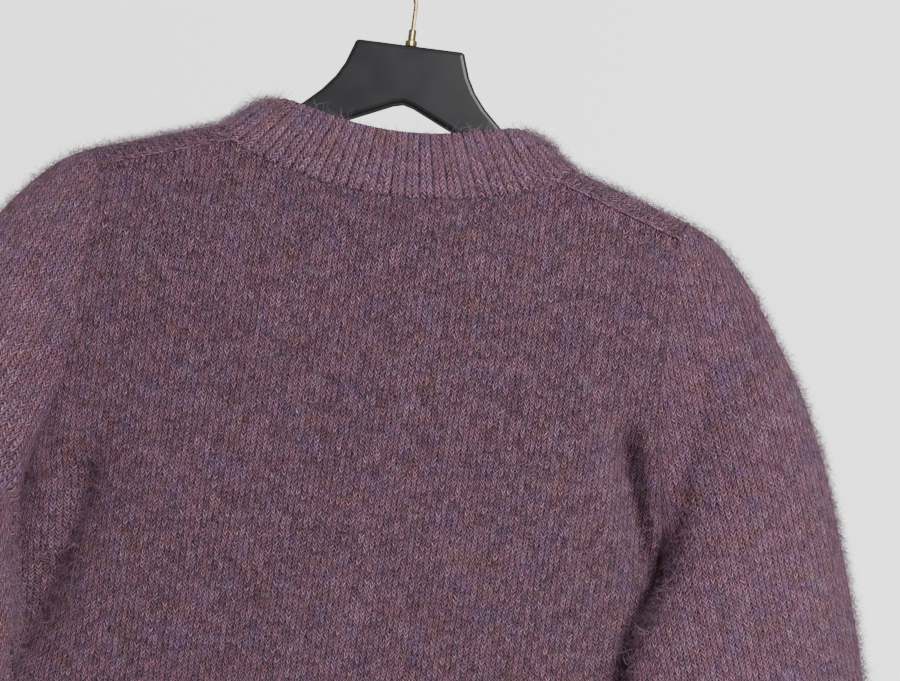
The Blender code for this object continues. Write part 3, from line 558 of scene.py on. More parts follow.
def lay_cloth(name, grid, uv, material, wall=WALL, closed=False, turn=1):
    """A thin closed shell of cloth: the outer grid, its lining and their rims."""
    rows, columns = grid.shape[:2]
    inner = grid - outward_normals(grid, closed, turn) * wall
    number = np.arange(rows * columns).reshape(rows, columns)
    if closed:
        number = np.concatenate([number, number[:, :1]], axis=1)
    place = np.arange(uv.shape[0] * uv.shape[1]).reshape(uv.shape[:2])
    outer_faces, outer_uv = quads(number), quads(place)
    if turn < 0:
        outer_faces, outer_uv = outer_faces[:, ::-1], outer_uv[:, ::-1]
    inner_faces = outer_faces[:, ::-1] + rows * columns
    faces, corners = [outer_faces, inner_faces], [outer_uv, outer_uv[:, ::-1]]
    edges = [(number[0], place[0], 1), (number[-1], place[-1], -1)]
    if not closed:
        edges += [(number[:, 0], place[:, 0], -1), (number[:, -1], place[:, -1], 1)]
    for line, spot, way in edges:
        rim = np.stack([line[:-1], line[1:], line[1:] + rows * columns, line[:-1] + rows * columns], axis=-1)
        rim_uv = np.stack([spot[:-1], spot[1:], spot[1:], spot[:-1]], axis=-1)
        if way * turn < 0:
            rim, rim_uv = rim[:, ::-1], rim_uv[:, ::-1]
        faces.append(rim)
        corners.append(rim_uv)
    points = np.concatenate([grid.reshape(-1, 3), inner.reshape(-1, 3)])
    cloth = make_mesh(name, points, np.concatenate(faces),
                      uv.reshape(-1, 2)[np.concatenate(corners).ravel()], material)
    cloth["outer_faces"] = len(outer_faces)
    return cloth


def make_mesh(name, points, faces, uv, material):
    """A mesh from arrays of points, of faces of one size and of a map for each corner."""
    data = bpy.data.meshes.new(name)
    sides = faces.shape[1]
    data.vertices.add(len(points))
    data.vertices.foreach_set("co", points.astype(np.float32).ravel())
    data.loops.add(faces.size)
    data.loops.foreach_set("vertex_index", faces.astype(np.int32).ravel())
    data.polygons.add(len(faces))
    data.polygons.foreach_set("loop_start", np.arange(0, faces.size, sides, dtype=np.int32))
    data.update(calc_edges=True)
    data.uv_layers.new(name="cloth_map").data.foreach_set("uv", uv.astype(np.float32).ravel())
    data.polygons.foreach_set("use_smooth", np.full(len(faces), True))
    data.materials.append(material)
    data.validate()
    piece = bpy.data.objects.new(name, data)
    bpy.context.scene.collection.objects.link(piece)
    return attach(piece, "root") or piece


def sew_cord(points, out, radius):
    """Rings of points round a thin cord along a line, flattened towards the cloth."""
    heading = unit(np.gradient(points, axis=0))
    out = unit(out - np.einsum("ij,ij->i", out, heading)[:, None] * heading)
    side = np.cross(heading, out)
    angle = np.linspace(0, 2 * pi, CORD_SIDES, endpoint=False)[None, :]
    along = np.arange(len(points))[:, None]
    size = radius * (1 + 0.22 * np.cos(2 * angle + CORD_TWIST * along))
    return (points[:, None] + (size * CORD_SQUASH * np.cos(angle))[..., None] * out[:, None]
            + (size * np.sin(angle))[..., None] * side[:, None])


# Materials

def add_node(tree, kind, inputs=None, **settings):
    node = tree.nodes.new("ShaderNode" + kind)
    for name, value in settings.items():
        setattr(node, name, value)
    for name, value in (inputs or {}).items():
        if isinstance(value, bpy.types.NodeSocket):
            tree.links.new(value, node.inputs[name])
        else:
            node.inputs[name].default_value = value
    return node


def cloth_map(tree):
    return add_node(tree, "UVMap", uv_map="cloth_map").outputs[0]


def object_map(tree):
    return add_node(tree, "TexCoord").outputs["Object"]


def split(tree, vector):
    return add_node(tree, "SeparateXYZ", {0: vector}).outputs


def calc(tree, operation, *values, clamp=False):
    inputs = dict(enumerate(values))
    return add_node(tree, "Math", inputs, operation=operation, use_clamp=clamp).outputs[0]


def remap(tree, value, low, high, to_low=0.0, to_high=1.0):
    limits = {"Value": value, "From Min": low, "From Max": high, "To Min": to_low, "To Max": to_high}
    return add_node(tree, "MapRange", limits, interpolation_type="SMOOTHSTEP").outputs[0]


def blend(tree, factor, a, b, mode="MIX"):
    return add_node(tree, "Mix", {0: factor, 6: a, 7: b}, data_type="RGBA", blend_type=mode).outputs[2]


def shaded(tree, colour, factor):
    """A colour made lighter or darker by a factor."""
    return add_node(tree, "VectorMath", {0: colour, "Scale": factor}, operation="SCALE").outputs[0]


def stretched(tree, vector, x, y, z=1.0):
    return add_node(tree, "Mapping", {"Vector": vector, "Scale": (x, y, z)}).outputs[0]


def noise(tree, vector, scale, detail=2.0, output="Fac"):
    return add_node(tree, "TexNoise", {"Vector": vector, "Scale": scale, "Detail": detail}).outputs[output]


def new_group(name, inputs, outputs):
    tree = bpy.data.node_groups.new(name, "ShaderNodeTree")
    for socket, kind, value in inputs:
        made = tree.interface.new_socket(socket, in_out="INPUT", socket_type=kind)
        made.default_value = value
    for socket, kind in outputs:
        tree.interface.new_socket(socket, in_out="OUTPUT", socket_type=kind)
    return tree, tree.nodes.new("NodeGroupInput").outputs, tree.nodes.new("NodeGroupOutput").inputs


def knit_stitches():
    """V stitches on the cloth's map: their height and the shade of each one."""
    number = "NodeSocketFloat"
    tree, given, out = new_group("knit_stitches", [("Wale", number, 0.0033), ("Course", number, 0.0026)],
                                 [("Height", number), ("Shade", number)])
    sum_of = partial(calc, tree)
    place = cloth_map(tree)
    wander = add_node(tree, "VectorMath",
                      {0: noise(tree, place, 190.0, 3.0, "Color"), 1: (0.0031, 0.0028, 0.0), 2: place},
                      operation="MULTIPLY_ADD").outputs[0]
    parts = split(tree, wander)
    across = sum_of("DIVIDE", parts[0], given["Wale"])
    up = sum_of("DIVIDE", parts[1], given["Course"])
    spread = sum_of("MULTIPLY", sum_of("ABSOLUTE", sum_of("SUBTRACT", sum_of("FRACT", across), 0.5)), 2.0)
    slant = sum_of("MULTIPLY_ADD", spread, -1.25, up)
    leg = sum_of("SINE", sum_of("MULTIPLY", sum_of("FRACT", slant), pi))
    round_leg = sum_of("POWER", sum_of("MAXIMUM", leg, 0.0), 0.9)
    side = sum_of("MULTIPLY_ADD", sum_of("POWER", spread, 3.0), -0.70, 1.0)
    middle = sum_of("MULTIPLY_ADD", sum_of("MULTIPLY", spread, 3.0, clamp=True), 0.30, 0.70)
    tree.links.new(sum_of("MULTIPLY", round_leg, sum_of("MULTIPLY", side, middle)), out["Height"])
    cell = add_node(tree, "CombineXYZ", {0: sum_of("FLOOR", across), 1: sum_of("FLOOR", slant)})
    shade = add_node(tree, "TexWhiteNoise", {"Vector": cell.outputs[0]})
    tree.links.new(shade.outputs["Value"], out["Shade"])


def heather_yarn():
    """The yarn's soft patches of colour, and the finer flecks within it."""
    colours = bpy.context.scene.cardigan_yarn
    names = ("plum", "blue_violet", "rust", "grey", "lilac")
    sockets = [(name, "NodeSocketColor", (*getattr(colours, name), 1.0)) for name in names]
    tree, given, out = new_group("heather_yarn", sockets,
                                 [("Colour", "NodeSocketColor"), ("Fleck", "NodeSocketFloat")])
    place = cloth_map(tree)
    cool = noise(tree, stretched(tree, place, 74.0, 58.0), 1.0, 5.0)
    warm = noise(tree, stretched(tree, place, 62.0, 80.0), 1.0, 5.0)
    pale = noise(tree, stretched(tree, place, 120.0, 95.0), 1.0, 4.0)
    colour = blend(tree, remap(tree, cool, 0.48, 0.68, 0.0, 0.75), given["plum"], given["blue_violet"])
    colour = blend(tree, remap(tree, warm, 0.50, 0.70, 0.0, 0.75), colour, given["rust"])
    colour = blend(tree, remap(tree, pale, 0.50, 0.70, 0.0, 0.7), colour, given["grey"])
    colour = blend(tree, remap(tree, warm, 0.48, 0.32, 0.0, 0.6), colour, given["lilac"])
    tree.links.new(colour, out["Colour"])
    tree.links.new(noise(tree, place, 700.0, 3.0), out["Fleck"])


def new_material(name, slot_colour, roughness, metallic=0.0, **constants):
    material = bpy.data.materials.new(name)
    material.use_nodes = True
    shader = material.node_tree.nodes["Principled BSDF"]
    shader.inputs["Base Color"].default_value = (*slot_colour, 1.0)
    shader.inputs["Roughness"].default_value = roughness
    shader.inputs["Metallic"].default_value = metallic
    for label, value in constants.items():
        shader.inputs[label.replace("_", " ").title()].default_value = value
    return material, material.node_tree, shader


def group_node(tree, name, inputs=None):
    return add_node(tree, "Group", inputs, node_tree=bpy.data.node_groups[name]).outputs


def set_bump(tree, shader, height, strength, distance):
    bump = add_node(tree, "Bump", {"Height": height, "Strength": strength, "Distance": distance})
    tree.links.new(bump.outputs[0], shader.inputs["Normal"])


def knit_material(name, wale, course, lightness, depth, ribbed=False):
    colours = bpy.context.scene.cardigan_yarn
    material, tree, shader = new_material(name, colours.plum, 0.95, sheen_weight=0.06, sheen_roughness=0.5)
    sum_of = partial(calc, tree)
    stitch = group_node(tree, "knit_stitches", {"Wale": wale, "Course": course})
    yarn = group_node(tree, "heather_yarn")
    shade = sum_of("MULTIPLY_ADD", stitch["Shade"], 0.72, lightness - 0.36)
    shade = sum_of("MULTIPLY_ADD", sum_of("SUBTRACT", yarn["Fleck"], 0.5), 2.3, shade)
    # Painted light and shade on the stitches: the crests of the yarn are painted lighter and the hollows
    # between its legs darker.
    shade = sum_of("MULTIPLY", shade, sum_of("MULTIPLY", sum_of("POWER", stitch["Height"], 1.4), 2.7))
    if ribbed:
        # Painted shade in the valleys between the ribs.
        phase = sum_of("FRACT", sum_of("MULTIPLY_ADD", split(tree, cloth_map(tree))[0], 1 / RIB_PITCH, -0.25))
        valley_shade_mask = sum_of("ABSOLUTE", sum_of("MULTIPLY_ADD", phase, 2.0, -1.0))
        shade = sum_of("MULTIPLY", shade, remap(tree, valley_shade_mask, 0.60, 1.0, 1.0, 0.35))
    # Painted shade in the gaps between the stitches: the darkest places are tinted towards a deep maroon.
    gap_shade = remap(tree, shade, 0.0, 0.8, 0.9, 0.0)
    tone = blend(tree, gap_shade, shaded(tree, yarn["Colour"], shade), (0.9, 0.40, 0.72, 1.0), "MULTIPLY")
    tree.links.new(tone, shader.inputs["Base Color"])
    height = sum_of("MULTIPLY_ADD", yarn["Fleck"], 0.35, stitch["Height"])
    set_bump(tree, shader, height, 0.9, depth)
    return material


def fuzz_material():
    """Fine hairs in the colour of the yarn that they rise from, each painted a little lighter for the light
    that passes through thin hairs.
    """
    settings = bpy.context.scene.cardigan_fuzz
    material, tree, shader = new_material("brushed_fuzz", settings.tip_colour, 0.8, sheen_weight=0.3)
    yarn = group_node(tree, "heather_yarn")
    each = add_node(tree, "TexWhiteNoise", {"Vector": stretched(tree, cloth_map(tree), 9000.0, 9000.0)})
    # Painted light: each hair is mixed towards the paler hair colour by a random share, for the light that
    # passes through thin hairs.
    painted_light_share = calc(tree, "MULTIPLY_ADD", each.outputs["Value"], 0.55, 0.05)
    colour = blend(tree, painted_light_share, yarn["Colour"], (*settings.tip_colour, 1.0))
    tree.links.new(colour, shader.inputs["Base Color"])
    return material


def plastic_material():
    settings = bpy.context.scene.cardigan_hanger
    material, tree, shader = new_material("satin_plastic", settings.plastic_colour, 0.36)
    place = object_map(tree)
    cloud = noise(tree, place, 60.0, 4.0)
    tree.links.new(remap(tree, cloud, 0.3, 0.7, 0.34, 0.40), shader.inputs["Roughness"])
    tone = shaded(tree, settings.plastic_colour, remap(tree, cloud, 0.25, 0.75, 0.94, 1.06))
    tree.links.new(tone, shader.inputs["Base Color"])
    set_bump(tree, shader, noise(tree, place, 2600.0, 2.0), 0.12, 0.0003)
    return material


def brass_material():
    settings = bpy.context.scene.cardigan_hanger
    material, tree, shader = new_material("polished_brass", settings.brass_colour, 0.24, metallic=1.0)
    place = object_map(tree)
    drawn = noise(tree, stretched(tree, place, 900.0, 900.0, 60.0), 1.0, 3.0)
    tree.links.new(remap(tree, drawn, 0.3, 0.75, 0.18, 0.36), shader.inputs["Roughness"])
    tone = shaded(tree, settings.brass_colour, remap(tree, drawn, 0.3, 0.7, 0.86, 1.05))
    tree.links.new(tone, shader.inputs["Base Color"])
    return material


def button_material():
    material, tree, shader = new_material("polished_button", (0.11, 0.06, 0.08), 0.3, coat_weight=0.5)
    place = object_map(tree)
    swirl = noise(tree, place, 160.0, 4.0)
    tone = blend(tree, remap(tree, swirl, 0.35, 0.65), (0.07, 0.035, 0.05, 1), (0.16, 0.095, 0.115, 1))
    tree.links.new(tone, shader.inputs["Base Color"])
    tree.links.new(remap(tree, swirl, 0.3, 0.7, 0.22, 0.38), shader.inputs["Roughness"])
    return material


# Settings

def colour_setting(label, words, value):
    return FloatVectorProperty(name=label, description=words, default=value, subtype="COLOR",
                               size=3, min=0.0, max=1.0)


def length_setting(label, words, value, precision=4):
    return FloatProperty(name=label, description=words, default=value, unit="LENGTH", precision=precision)


class YarnSettings(bpy.types.PropertyGroup):
    plum: colour_setting("Plum", "The yarn's main colour", (0.202, 0.090, 0.142))
    blue_violet: colour_setting("Blue violet", "The yarn's coolest patches", (0.166, 0.094, 0.190))
    rust: colour_setting("Rust", "The yarn's warmest patches", (0.228, 0.102, 0.112))
    grey: colour_setting("Grey", "The yarn's pale grey patches", (0.236, 0.146, 0.186))
    lilac: colour_setting("Lilac", "The yarn's pinkish patches", (0.272, 0.124, 0.200))
    wale: length_setting("Wale", "Width of one column of stitches", 0.0033)
    course: length_setting("Course", "Height of one row of stitches", 0.0026)
    relief: length_setting("Rib relief", "How far a rib stands up", 0.0010)


class FuzzSettings(bpy.types.PropertyGroup):
    tip_colour: colour_setting("Hair colour", "Where light passes through the ends of the hairs",
                               (0.66, 0.45, 0.56))
    length: length_setting("Hair length", "Length of a usual hair", 0.0075)
    width: length_setting("Hair width", "Width of a hair at its root", 0.00019, precision=5)
    per_area: IntProperty(name="Hairs per square centimetre", description="How closely the hairs grow",
                          default=24, min=0, max=60)


class HangerSettings(bpy.types.PropertyGroup):
    plastic_colour: colour_setting("Plastic", "The moulded hanger", (0.027, 0.027, 0.030))
    brass_colour: colour_setting("Brass", "The hook, its collar and its sleeve", (0.72, 0.56, 0.28))


class StageSettings(bpy.types.PropertyGroup):
    floor_colour: colour_setting("Floor", "The plain pale floor", (0.90, 0.89, 0.87))
    wall_colour: colour_setting("Surround", "The plain pale surround", (0.745, 0.735, 0.72))
    sky: FloatProperty(name="Soft light", description="Strength of the light from all round", default=0.18)
    key: FloatProperty(name="Key light", description="Power of the large soft lamp", default=31.0,
                       unit="POWER")


# Operators

def stored_material(name):
    return bpy.data.materials[name]


def dress(piece, node):
    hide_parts(node)


class CARDIGAN_OT_mix_yarn(bpy.types.Operator):
    """Builds the knit, rib and fuzz materials from the yarn's settings"""
    bl_idname = "cardigan.mix_yarn"
    bl_label = "Mix yarn"

    def execute(self, context):
        knit_stitches()
        heather_yarn()
        yarn = context.scene.cardigan_yarn
        knit_material("brushed_knit", yarn.wale, yarn.course, 0.97, 0.0018)
        # The sleeves' knit is a lighter copy of the body's: painted light, for the brighter light that falls
        # on the sleeves.
        knit_material("brushed_sleeve_painted_lighter", yarn.wale, yarn.course, 1.22, 0.0018)
        knit_material("brushed_rib", RIB_PITCH / 2, yarn.course, 1.36, 0.0014, ribbed=True)
        knit_material("seam_yarn", 0.0022, 0.0022, 1.12, 0.0008)
        fuzz_material()
        return {"FINISHED"}


class CARDIGAN_OT_lay_panels(bpy.types.Operator):
    """Lays the back and the two fronts"""
    bl_idname = "cardigan.lay_panels"
    bl_label = "Lay panels"

    def execute(self, context):
        knit = stored_material("brushed_knit")
        grid = back_grid(*BACK_MESH)
        dress(lay_cloth("back_panel", grid, body_map(grid), knit, turn=-1), "back")
        for side, name in SIDES:
            grid = front_grid(side, *FRONT_MESH)
            uv = body_map(grid, side * OPENING_HALF) + (side * 0.31, 0.0)
            front = lay_cloth(f"front_panel_{name}", grid, uv, knit, turn=side)
            dress(front, f"front_{name}")
        return {"FINISHED"}


class CARDIGAN_OT_hang_sleeves(bpy.types.Operator):
    """Hangs the two sleeves from their armholes"""
    bl_idname = "cardigan.hang_sleeves"
    bl_label = "Hang sleeves"

    def execute(self, context):
        # The sleeves take the lighter copy of the knit, with its painted light.
        knit = stored_material("brushed_sleeve_painted_lighter")
        for side, name in SIDES:
            grid = sleeve_grid(side, *SLEEVE_MESH)
            uv = sleeve_map(grid) + (side * 0.71, 0.0)
            sleeve = lay_cloth(f"sleeve_cloth_{name}", grid, uv, knit, closed=True, turn=side)
            dress(sleeve, f"sleeve_{name}")
        return {"FINISHED"}


def lay_rib(name, node, grid, ribs, place, share=1.0, wall=WALL, closed=False, turn=1):
    """Lays one ribbed piece, its ribs raised by a share of the relief and its map moved to a place."""
    raised = raise_ribs(grid, ribs, closed, turn, share * bpy.context.scene.cardigan_yarn.relief)
    uv = rib_map(grid, ribs, closed) + place
    dress(lay_cloth(name, raised, uv, stored_material("brushed_rib"), wall, closed, turn), node)


class CARDIGAN_OT_knit_ribs(bpy.types.Operator):
    """Knits the neckband, the cuffs and the hem in one-and-one rib"""
    bl_idname = "cardigan.knit_ribs"
    bl_label = "Knit ribs"

    def execute(self, context):
        lay_rib("neck_ribbing", "neckband", *neckband_grid(12), (0.0, 0.9), wall=BAND_WALL)
        for side, name in SIDES:
            lay_rib(f"cuff_ribbing_{name}", f"cuff_{name}", *cuff_grid(side, 16), (0.0, 0.4 + 0.1 * side),
                    closed=True, turn=side)
        edge = float(half_width(HEM_RIB_DROP, 1))
        for node, start, end, face in (("hem_back", -edge, edge, BACK),
                                       ("hem_left", OPENING_HALF, edge, FRONT),
                                       ("hem_right", -edge, -OPENING_HALF, FRONT)):
            place = (RIB_PITCH * round(start * 500), 1.7)
            lay_rib(f"{node}_ribbing", node, *hem_grid(start, end, face, 14), place, turn=-face)
        return {"FINISHED"}


class CARDIGAN_OT_button_up(bpy.types.Operator):
    """Lays the two front bands and finishes the buttons"""
    bl_idname = "cardigan.button_up"
    bl_label = "Button up"

    def execute(self, context):
        under = band_grid(-OPENING_HALF, OPENING_HALF, 0.0, 90, 25)
        lay_rib("button_band_cloth", "button_band", under, 4, (0.0, 2.1), share=0.0)
        over = band_grid(-OPENING_HALF - BAND_LAP, OPENING_HALF, BAND_LIFT, 90, 41)
        lay_rib("buttonhole_band_cloth", "buttonhole_band", over, 5, (0.0, 2.7), share=0.7, wall=BAND_WALL)
        polish = button_material()
        for number in range(1, BUTTON_COUNT + 1):
            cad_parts[f"button_{number}"].material_slots[0].material = polish
        return {"FINISHED"}


def seam_lines():
    """The line of each seam, and the radius of its cord."""
    back = back_grid(*BACK_MESH)
    below = SHOULDER_POINTS - 1
    lines = [(back[0, :SHOULDER_POINTS], SHOULDER_CORD), (back[0, -SHOULDER_POINTS:], SHOULDER_CORD),
             (back[below:, 0], SIDE_CORD), (back[below:, -1], SIDE_CORD), (back[-1], JOIN_CORD)]
    rows = SLEEVE_MESH[0]
    for side, _ in SIDES:
        for ring in (sleeve_grid(side, rows, ARMHOLE_POINTS)[0], sleeve_grid(side, rows, CUFF_POINTS)[-1]):
            lines.append((np.concatenate([ring, ring[:1]]), JOIN_CORD))
        lines.append((front_grid(side, *FRONT_MESH)[-1], JOIN_CORD))
    return lines


class CARDIGAN_OT_sew_seams(bpy.types.Operator):
    """Sews a narrow raised seam along the shoulders, armholes, sides and rib joins"""
    bl_idname = "cardigan.sew_seams"
    bl_label = "Sew seams"

    def execute(self, context):
        points, faces, uvs, start = [], [], [], 0
        for line, radius in seam_lines():
            lengths = lengths_along(line)
            even = np.linspace(0, lengths[-1], max(8, int(lengths[-1] / CORD_STEP)))
            line = np.stack([np.interp(even, lengths, line[:, c]) for c in range(3)], axis=-1)
            face = np.where(line[:, 1] >= 0, 1.0, -1.0)
            out = np.stack([0.3 * line[:, 0], face * (0.02 + np.abs(line[:, 1])),
                            np.full(len(line), 0.002)], axis=-1)
            ring = sew_cord(line, out, radius)
            number = np.arange(len(line) * CORD_SIDES).reshape(-1, CORD_SIDES) + start
            place = np.arange(len(line) * (CORD_SIDES + 1)).reshape(-1, CORD_SIDES + 1)
            round_cord = np.linspace(0, CORD_ROUND, CORD_SIDES + 1)[None, :] + line[0, 0]
            spots = np.stack(np.broadcast_arrays(round_cord, even[:, None] + line[0, 2]), axis=-1)
            points.append(ring.reshape(-1, 3))
            faces.append(quads(np.concatenate([number, number[:, :1]], axis=1)))
            uvs.append(spots.reshape(-1, 2)[quads(place).ravel()])
            start += number.size
        arrays = (np.concatenate(part) for part in (points, faces, uvs))
        seams = make_mesh("seam_stitching", *arrays, stored_material("seam_yarn"))
        return {"FINISHED"}


# How each sheet was cut, the area of it that shows, what it rests on, its share of fuzz, and
# whether its sides are brushed up more than its middle.
Sheet = namedtuple("Sheet", "name width length area held rests_on fuzz rim")
SHEETS = [Sheet(*row) for row in (
    # name                    width  length area   held         rests on                 fuzz rim
    ("back_panel",            0.410, 0.530, 0.196, "hung",      ["hanger"],              0.5, 0),
    ("front_panel_left",      0.200, 0.545, 0.092, "hung",      ["hanger"],              1.2, 1),
    ("front_panel_right",     0.200, 0.545, 0.090, "hung",      ["hanger"],              1.2, 1),
    ("sleeve_cloth_left",     0.330, 0.450, 0.118, "hung",      ["back_panel"],          1.7, 1),
    ("sleeve_cloth_right",    0.330, 0.450, 0.118, "hung",      ["back_panel"],          1.7, 1),
    ("neck_ribbing",          0.560, 0.048, None,  "stretched", ["back_panel"],          3.4, 1),
    ("cuff_ribbing_left",     0.205, 0.062, None,  "hung",      ["sleeve_cloth_left"],   1.4, 1),
    ("cuff_ribbing_right",    0.205, 0.062, None,  "hung",      ["sleeve_cloth_right"],  1.4, 1),
    ("hem_back_ribbing",      0.410, 0.061, None,  "hung",      ["back_panel"],          1.0, 1),
    ("hem_left_ribbing",      0.190, 0.061, None,  "hung",      ["front_panel_left"],    1.0, 1),
    ("hem_right_ribbing",     0.190, 0.061, None,  "hung",      ["front_panel_right"],   1.0, 1),
    ("button_band_cloth",     0.031, 0.506, None,  "hung",      ["front_panel_right"],   0.0, 1),
    ("buttonhole_band_cloth", 0.036, 0.506, None,  "hung",      ["button_band_cloth"],   0.8, 1),
)]


def grow_hairs(cloth, settings, sheet, seed):
    """Curved tapering hairs rooted all over the outside of one piece of cloth."""
    data, count = cloth.data, cloth["outer_faces"]
    points = np.zeros(len(data.vertices) * 3)
    data.vertices.foreach_get("co", points)
    points = points.reshape(-1, 3)
    corners = np.zeros(len(data.loops), np.int32)
    data.loops.foreach_get("vertex_index", corners)
    face_points = points[corners[:count * 4].reshape(-1, 4)]
    uv = np.zeros(len(data.loops) * 2)
    data.uv_layers[0].data.foreach_get("uv", uv)
    uv = uv[:count * 8].reshape(-1, 4, 2)
    normal = np.cross(face_points[:, 2] - face_points[:, 0], face_points[:, 3] - face_points[:, 1])
    area = np.linalg.norm(normal, axis=1) / 2
    hairs = int(area.sum() * 1e4 * settings.per_area * sheet.fuzz)
    dice = np.random.default_rng(seed)
    aside = normal[:, 0] * np.sign(face_points[:, 0, 0]) * sheet.rim
    facing_out = np.maximum(aside, normal[:, 2]) / (2 * area)
    weight = area * (0.32 + 2.8 * np.clip(facing_out, 0, 1) ** 1.5)
    pick = dice.choice(count, hairs, p=weight / weight.sum())
    a, b = dice.random((2, hairs, 1))

    def spot(values):
        return mix(mix(values[pick, 0], values[pick, 1], a), mix(values[pick, 3], values[pick, 2], a), b)

    up = normal[pick] / (2 * area[pick, None])
    flat = dice.normal(size=(hairs, 3))
    flat = unit(flat - np.einsum("ij,ij->i", flat, up)[:, None] * up)
    side = np.cross(up, flat)
    length = settings.length * np.exp(np.clip(dice.normal(0, 0.35, hairs), -0.8, 0.6))[:, None]
    stray = dice.random((hairs, 1)) < STRAY_SHARE
    length = np.where(stray, length * STRAY_LENGTH, length)
    rise = np.clip(np.abs(dice.normal(0.0, 0.50, (hairs, 1))) + 0.26, 0, 1.0)
    rise = np.minimum(rise, HAIR_REACH / length)
    curl = dice.normal(0, 0.75, (hairs, 1))
    droop = dice.uniform(0.0, 0.50, (hairs, 1)) * rise
    root = spot(face_points) - up * ROOT_DEPTH
    path = np.stack([root + length * (t * (1 - 0.4 * rise) * flat + (rise * t - droop * t * t) * up
                                      + curl * t * t * 0.6 * side) for t in HAIR_STEPS], axis=1)
    path[:, :, 2] -= (length * 0.10 * rise) * np.square(HAIR_STEPS)[None, :]
    heading = path[:, 1] - path[:, 0]
    facing = up * dice.uniform(0.3, 1.0, (hairs, 1)) + dice.normal(0, 0.5, (hairs, 3))
    across = np.cross(heading, facing)
    across *= settings.width / 2 / np.maximum(np.linalg.norm(across, axis=1, keepdims=True), 1e-12)
    across *= dice.uniform(0.7, 1.25, (hairs, 1))
    verts = np.stack([path[:, 0], path[:, 1] - across, path[:, 1] + across, path[:, 2]], axis=1)
    faces = np.array(((0, 1, 2), (1, 3, 2)))[None] + np.arange(hairs)[:, None, None] * 4
    hair_uv = np.repeat(spot(uv), 6, axis=0)
    fuzz = make_mesh(cloth.name + "_fuzz", verts.reshape(-1, 3), faces.reshape(-1, 3), hair_uv,
                     stored_material("brushed_fuzz"))
    return fuzz


class CARDIGAN_OT_brush_fuzz(bpy.types.Operator):
    """Brushes up a halo of fine hairs over the knitted pieces"""
    bl_idname = "cardigan.brush_fuzz"
    bl_label = "Brush fuzz"

    def execute(self, context):
        settings = context.scene.cardigan_fuzz
        for seed, sheet in enumerate(SHEETS):
            cloth = bpy.data.objects.get(sheet.name)
            if cloth is None:
                raise RuntimeError(f"there is no {sheet.name} to brush")
            going = [grow_hairs(cloth, settings, sheet, seed)] if sheet.fuzz else []
            if sheet.name == "back_panel":
                going.append(bpy.data.objects["seam_stitching"])
        return {"FINISHED"}


class CARDIGAN_OT_finish_hanger(bpy.types.Operator):
    """Gives the hanger its satin plastic and the hook its brass"""
    bl_idname = "cardigan.finish_hanger"
    bl_label = "Finish hanger"

    def execute(self, context):
        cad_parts["hanger"].material_slots[0].material = plastic_material()
        brass = brass_material()
        for node in ("hook", "ferrule"):
            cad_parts[node].material_slots[0].material = brass
        return {"FINISHED"}


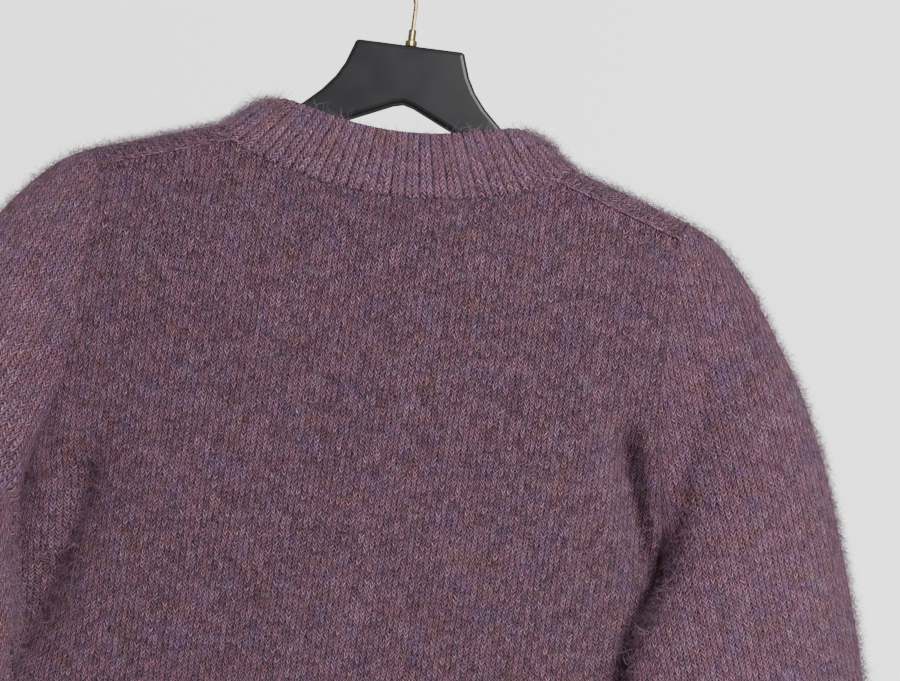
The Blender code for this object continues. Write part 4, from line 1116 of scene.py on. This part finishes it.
class CARDIGAN_OT_set_stage(bpy.types.Operator):
    """Sets the pale floor and surround, the soft lights and the camera"""
    bl_idname = "cardigan.set_stage"
    bl_label = "Set stage"

    def execute(self, context):
        settings = context.scene.cardigan_stage
        bpy.ops.mesh.primitive_plane_add(size=FLOOR_SIZE, location=(0, 0, FLOOR_LEVEL))
        floor = context.object
        floor.name = "pale_floor"
        material, tree, shader = new_material("pale_floor", settings.floor_colour, 0.8)
        scuffs = remap(tree, noise(tree, object_map(tree), 8.0, 3.0), 0.3, 0.7, 0.72, 0.88)
        tree.links.new(scuffs, shader.inputs["Roughness"])
        floor.data.materials.append(material)

        world = bpy.data.worlds.new("soft_surround")
        context.scene.world = world
        world.use_nodes = True
        tree = world.node_tree
        seen = tree.nodes["Background"]
        ahead = add_node(tree, "TexCoord").outputs["Generated"]
        aside = split(tree, ahead)[0]
        wall = (*settings.wall_colour, 1.0)
        # Painted light on the surround: one side is painted darker, as the light falls off across it.
        dimmer_painted_side = tuple(SURROUND_FALL * part for part in wall)
        tone = blend(tree, remap(tree, aside, 0.35, -0.40), dimmer_painted_side, wall)
        tree.links.new(tone, seen.inputs["Color"])
        seen.inputs["Strength"].default_value = SURROUND_STRENGTH
        lit = add_node(tree, "Background", {"Color": (0.96, 0.97, 1.0, 1.0), "Strength": settings.sky})
        by_eye = add_node(tree, "LightPath").outputs[0]
        choose = add_node(tree, "MixShader", {0: by_eye, 1: lit.outputs[0], 2: seen.outputs[0]})
        tree.links.new(choose.outputs[0], tree.nodes["World Output"].inputs["Surface"])

        for name, spot, size, power, aim in (
                ("key_light", (-0.75, 1.55, 0.50), 0.7, settings.key, (0, 0, -0.35)),
                ("front_light", (0.7, -1.8, 0.7), 1.6, settings.key * 1.1, (0, 0, -0.4))):
            lamp = bpy.data.lights.new(name, "AREA")
            lamp.energy = power
            lamp.size = size
            holder = bpy.data.objects.new(name, lamp)
            holder.location = spot
            holder.rotation_euler = (Vector(aim) - Vector(spot)).to_track_quat("-Z", "Y").to_euler()
            context.scene.collection.objects.link(holder)

        back, right = Vector((0, cos(CAMERA_TILT), sin(CAMERA_TILT))), Vector((-1, 0, 0))
        up = back.cross(right)
        across = cos(CAMERA_ROLL) * right + sin(CAMERA_ROLL) * up
        tall = cos(CAMERA_ROLL) * up - sin(CAMERA_ROLL) * right
        eye = Vector((0, 0, AIM_LEVEL)) + CAMERA_BACK * back + CAMERA_ASIDE * right - CAMERA_LOWER * up
        lens = bpy.data.cameras.new("photo_view")
        lens.lens = 50.0
        lens.sensor_width = 36.0
        lens.clip_start = 0.01
        camera = bpy.data.objects.new("photo_view", lens)
        camera.matrix_world = Matrix.Translation(eye) @ Matrix((across, tall, back)).transposed().to_4x4()
        context.scene.collection.objects.link(camera)
        context.scene.camera = camera
        return {"FINISHED"}


OPERATORS = (
    CARDIGAN_OT_mix_yarn, CARDIGAN_OT_lay_panels, CARDIGAN_OT_hang_sleeves, CARDIGAN_OT_knit_ribs,
    CARDIGAN_OT_button_up, CARDIGAN_OT_sew_seams, CARDIGAN_OT_brush_fuzz, CARDIGAN_OT_finish_hanger,
    CARDIGAN_OT_set_stage,
)
SETTINGS = (
    ("cardigan_yarn", YarnSettings), ("cardigan_fuzz", FuzzSettings),
    ("cardigan_hanger", HangerSettings), ("cardigan_stage", StageSettings),
)


class CARDIGAN_PT_panel(bpy.types.Panel):
    """The settings and the steps in the order that they run"""
    bl_idname = "CARDIGAN_PT_panel"
    bl_label = "Heather cardigan"
    bl_space_type = "VIEW_3D"
    bl_region_type = "UI"
    bl_category = "Cardigan"

    def draw(self, context):
        for label, kind in SETTINGS:
            box = self.layout.box()
            for name in kind.__annotations__:
                box.prop(getattr(context.scene, label), name)
        for step in OPERATORS:
            self.layout.operator(step.bl_idname)


def register():
    for label, kind in SETTINGS:
        bpy.utils.register_class(kind)
        setattr(bpy.types.Scene, label, PointerProperty(type=kind))
    for kind in (*OPERATORS, CARDIGAN_PT_panel):
        bpy.utils.register_class(kind)


def unregister():
    for kind in (CARDIGAN_PT_panel, *reversed(OPERATORS)):
        bpy.utils.unregister_class(kind)
    for label, kind in SETTINGS:
        delattr(bpy.types.Scene, label)
        bpy.utils.unregister_class(kind)


def main():
    register()
    bpy.ops.cardigan.mix_yarn()
    bpy.ops.cardigan.lay_panels()
    bpy.ops.cardigan.hang_sleeves()
    bpy.ops.cardigan.knit_ribs()
    bpy.ops.cardigan.button_up()
    bpy.ops.cardigan.sew_seams()
    bpy.ops.cardigan.brush_fuzz()
    bpy.ops.cardigan.finish_hanger()
    bpy.ops.cardigan.set_stage()


if __name__ == "__main__":
    main()
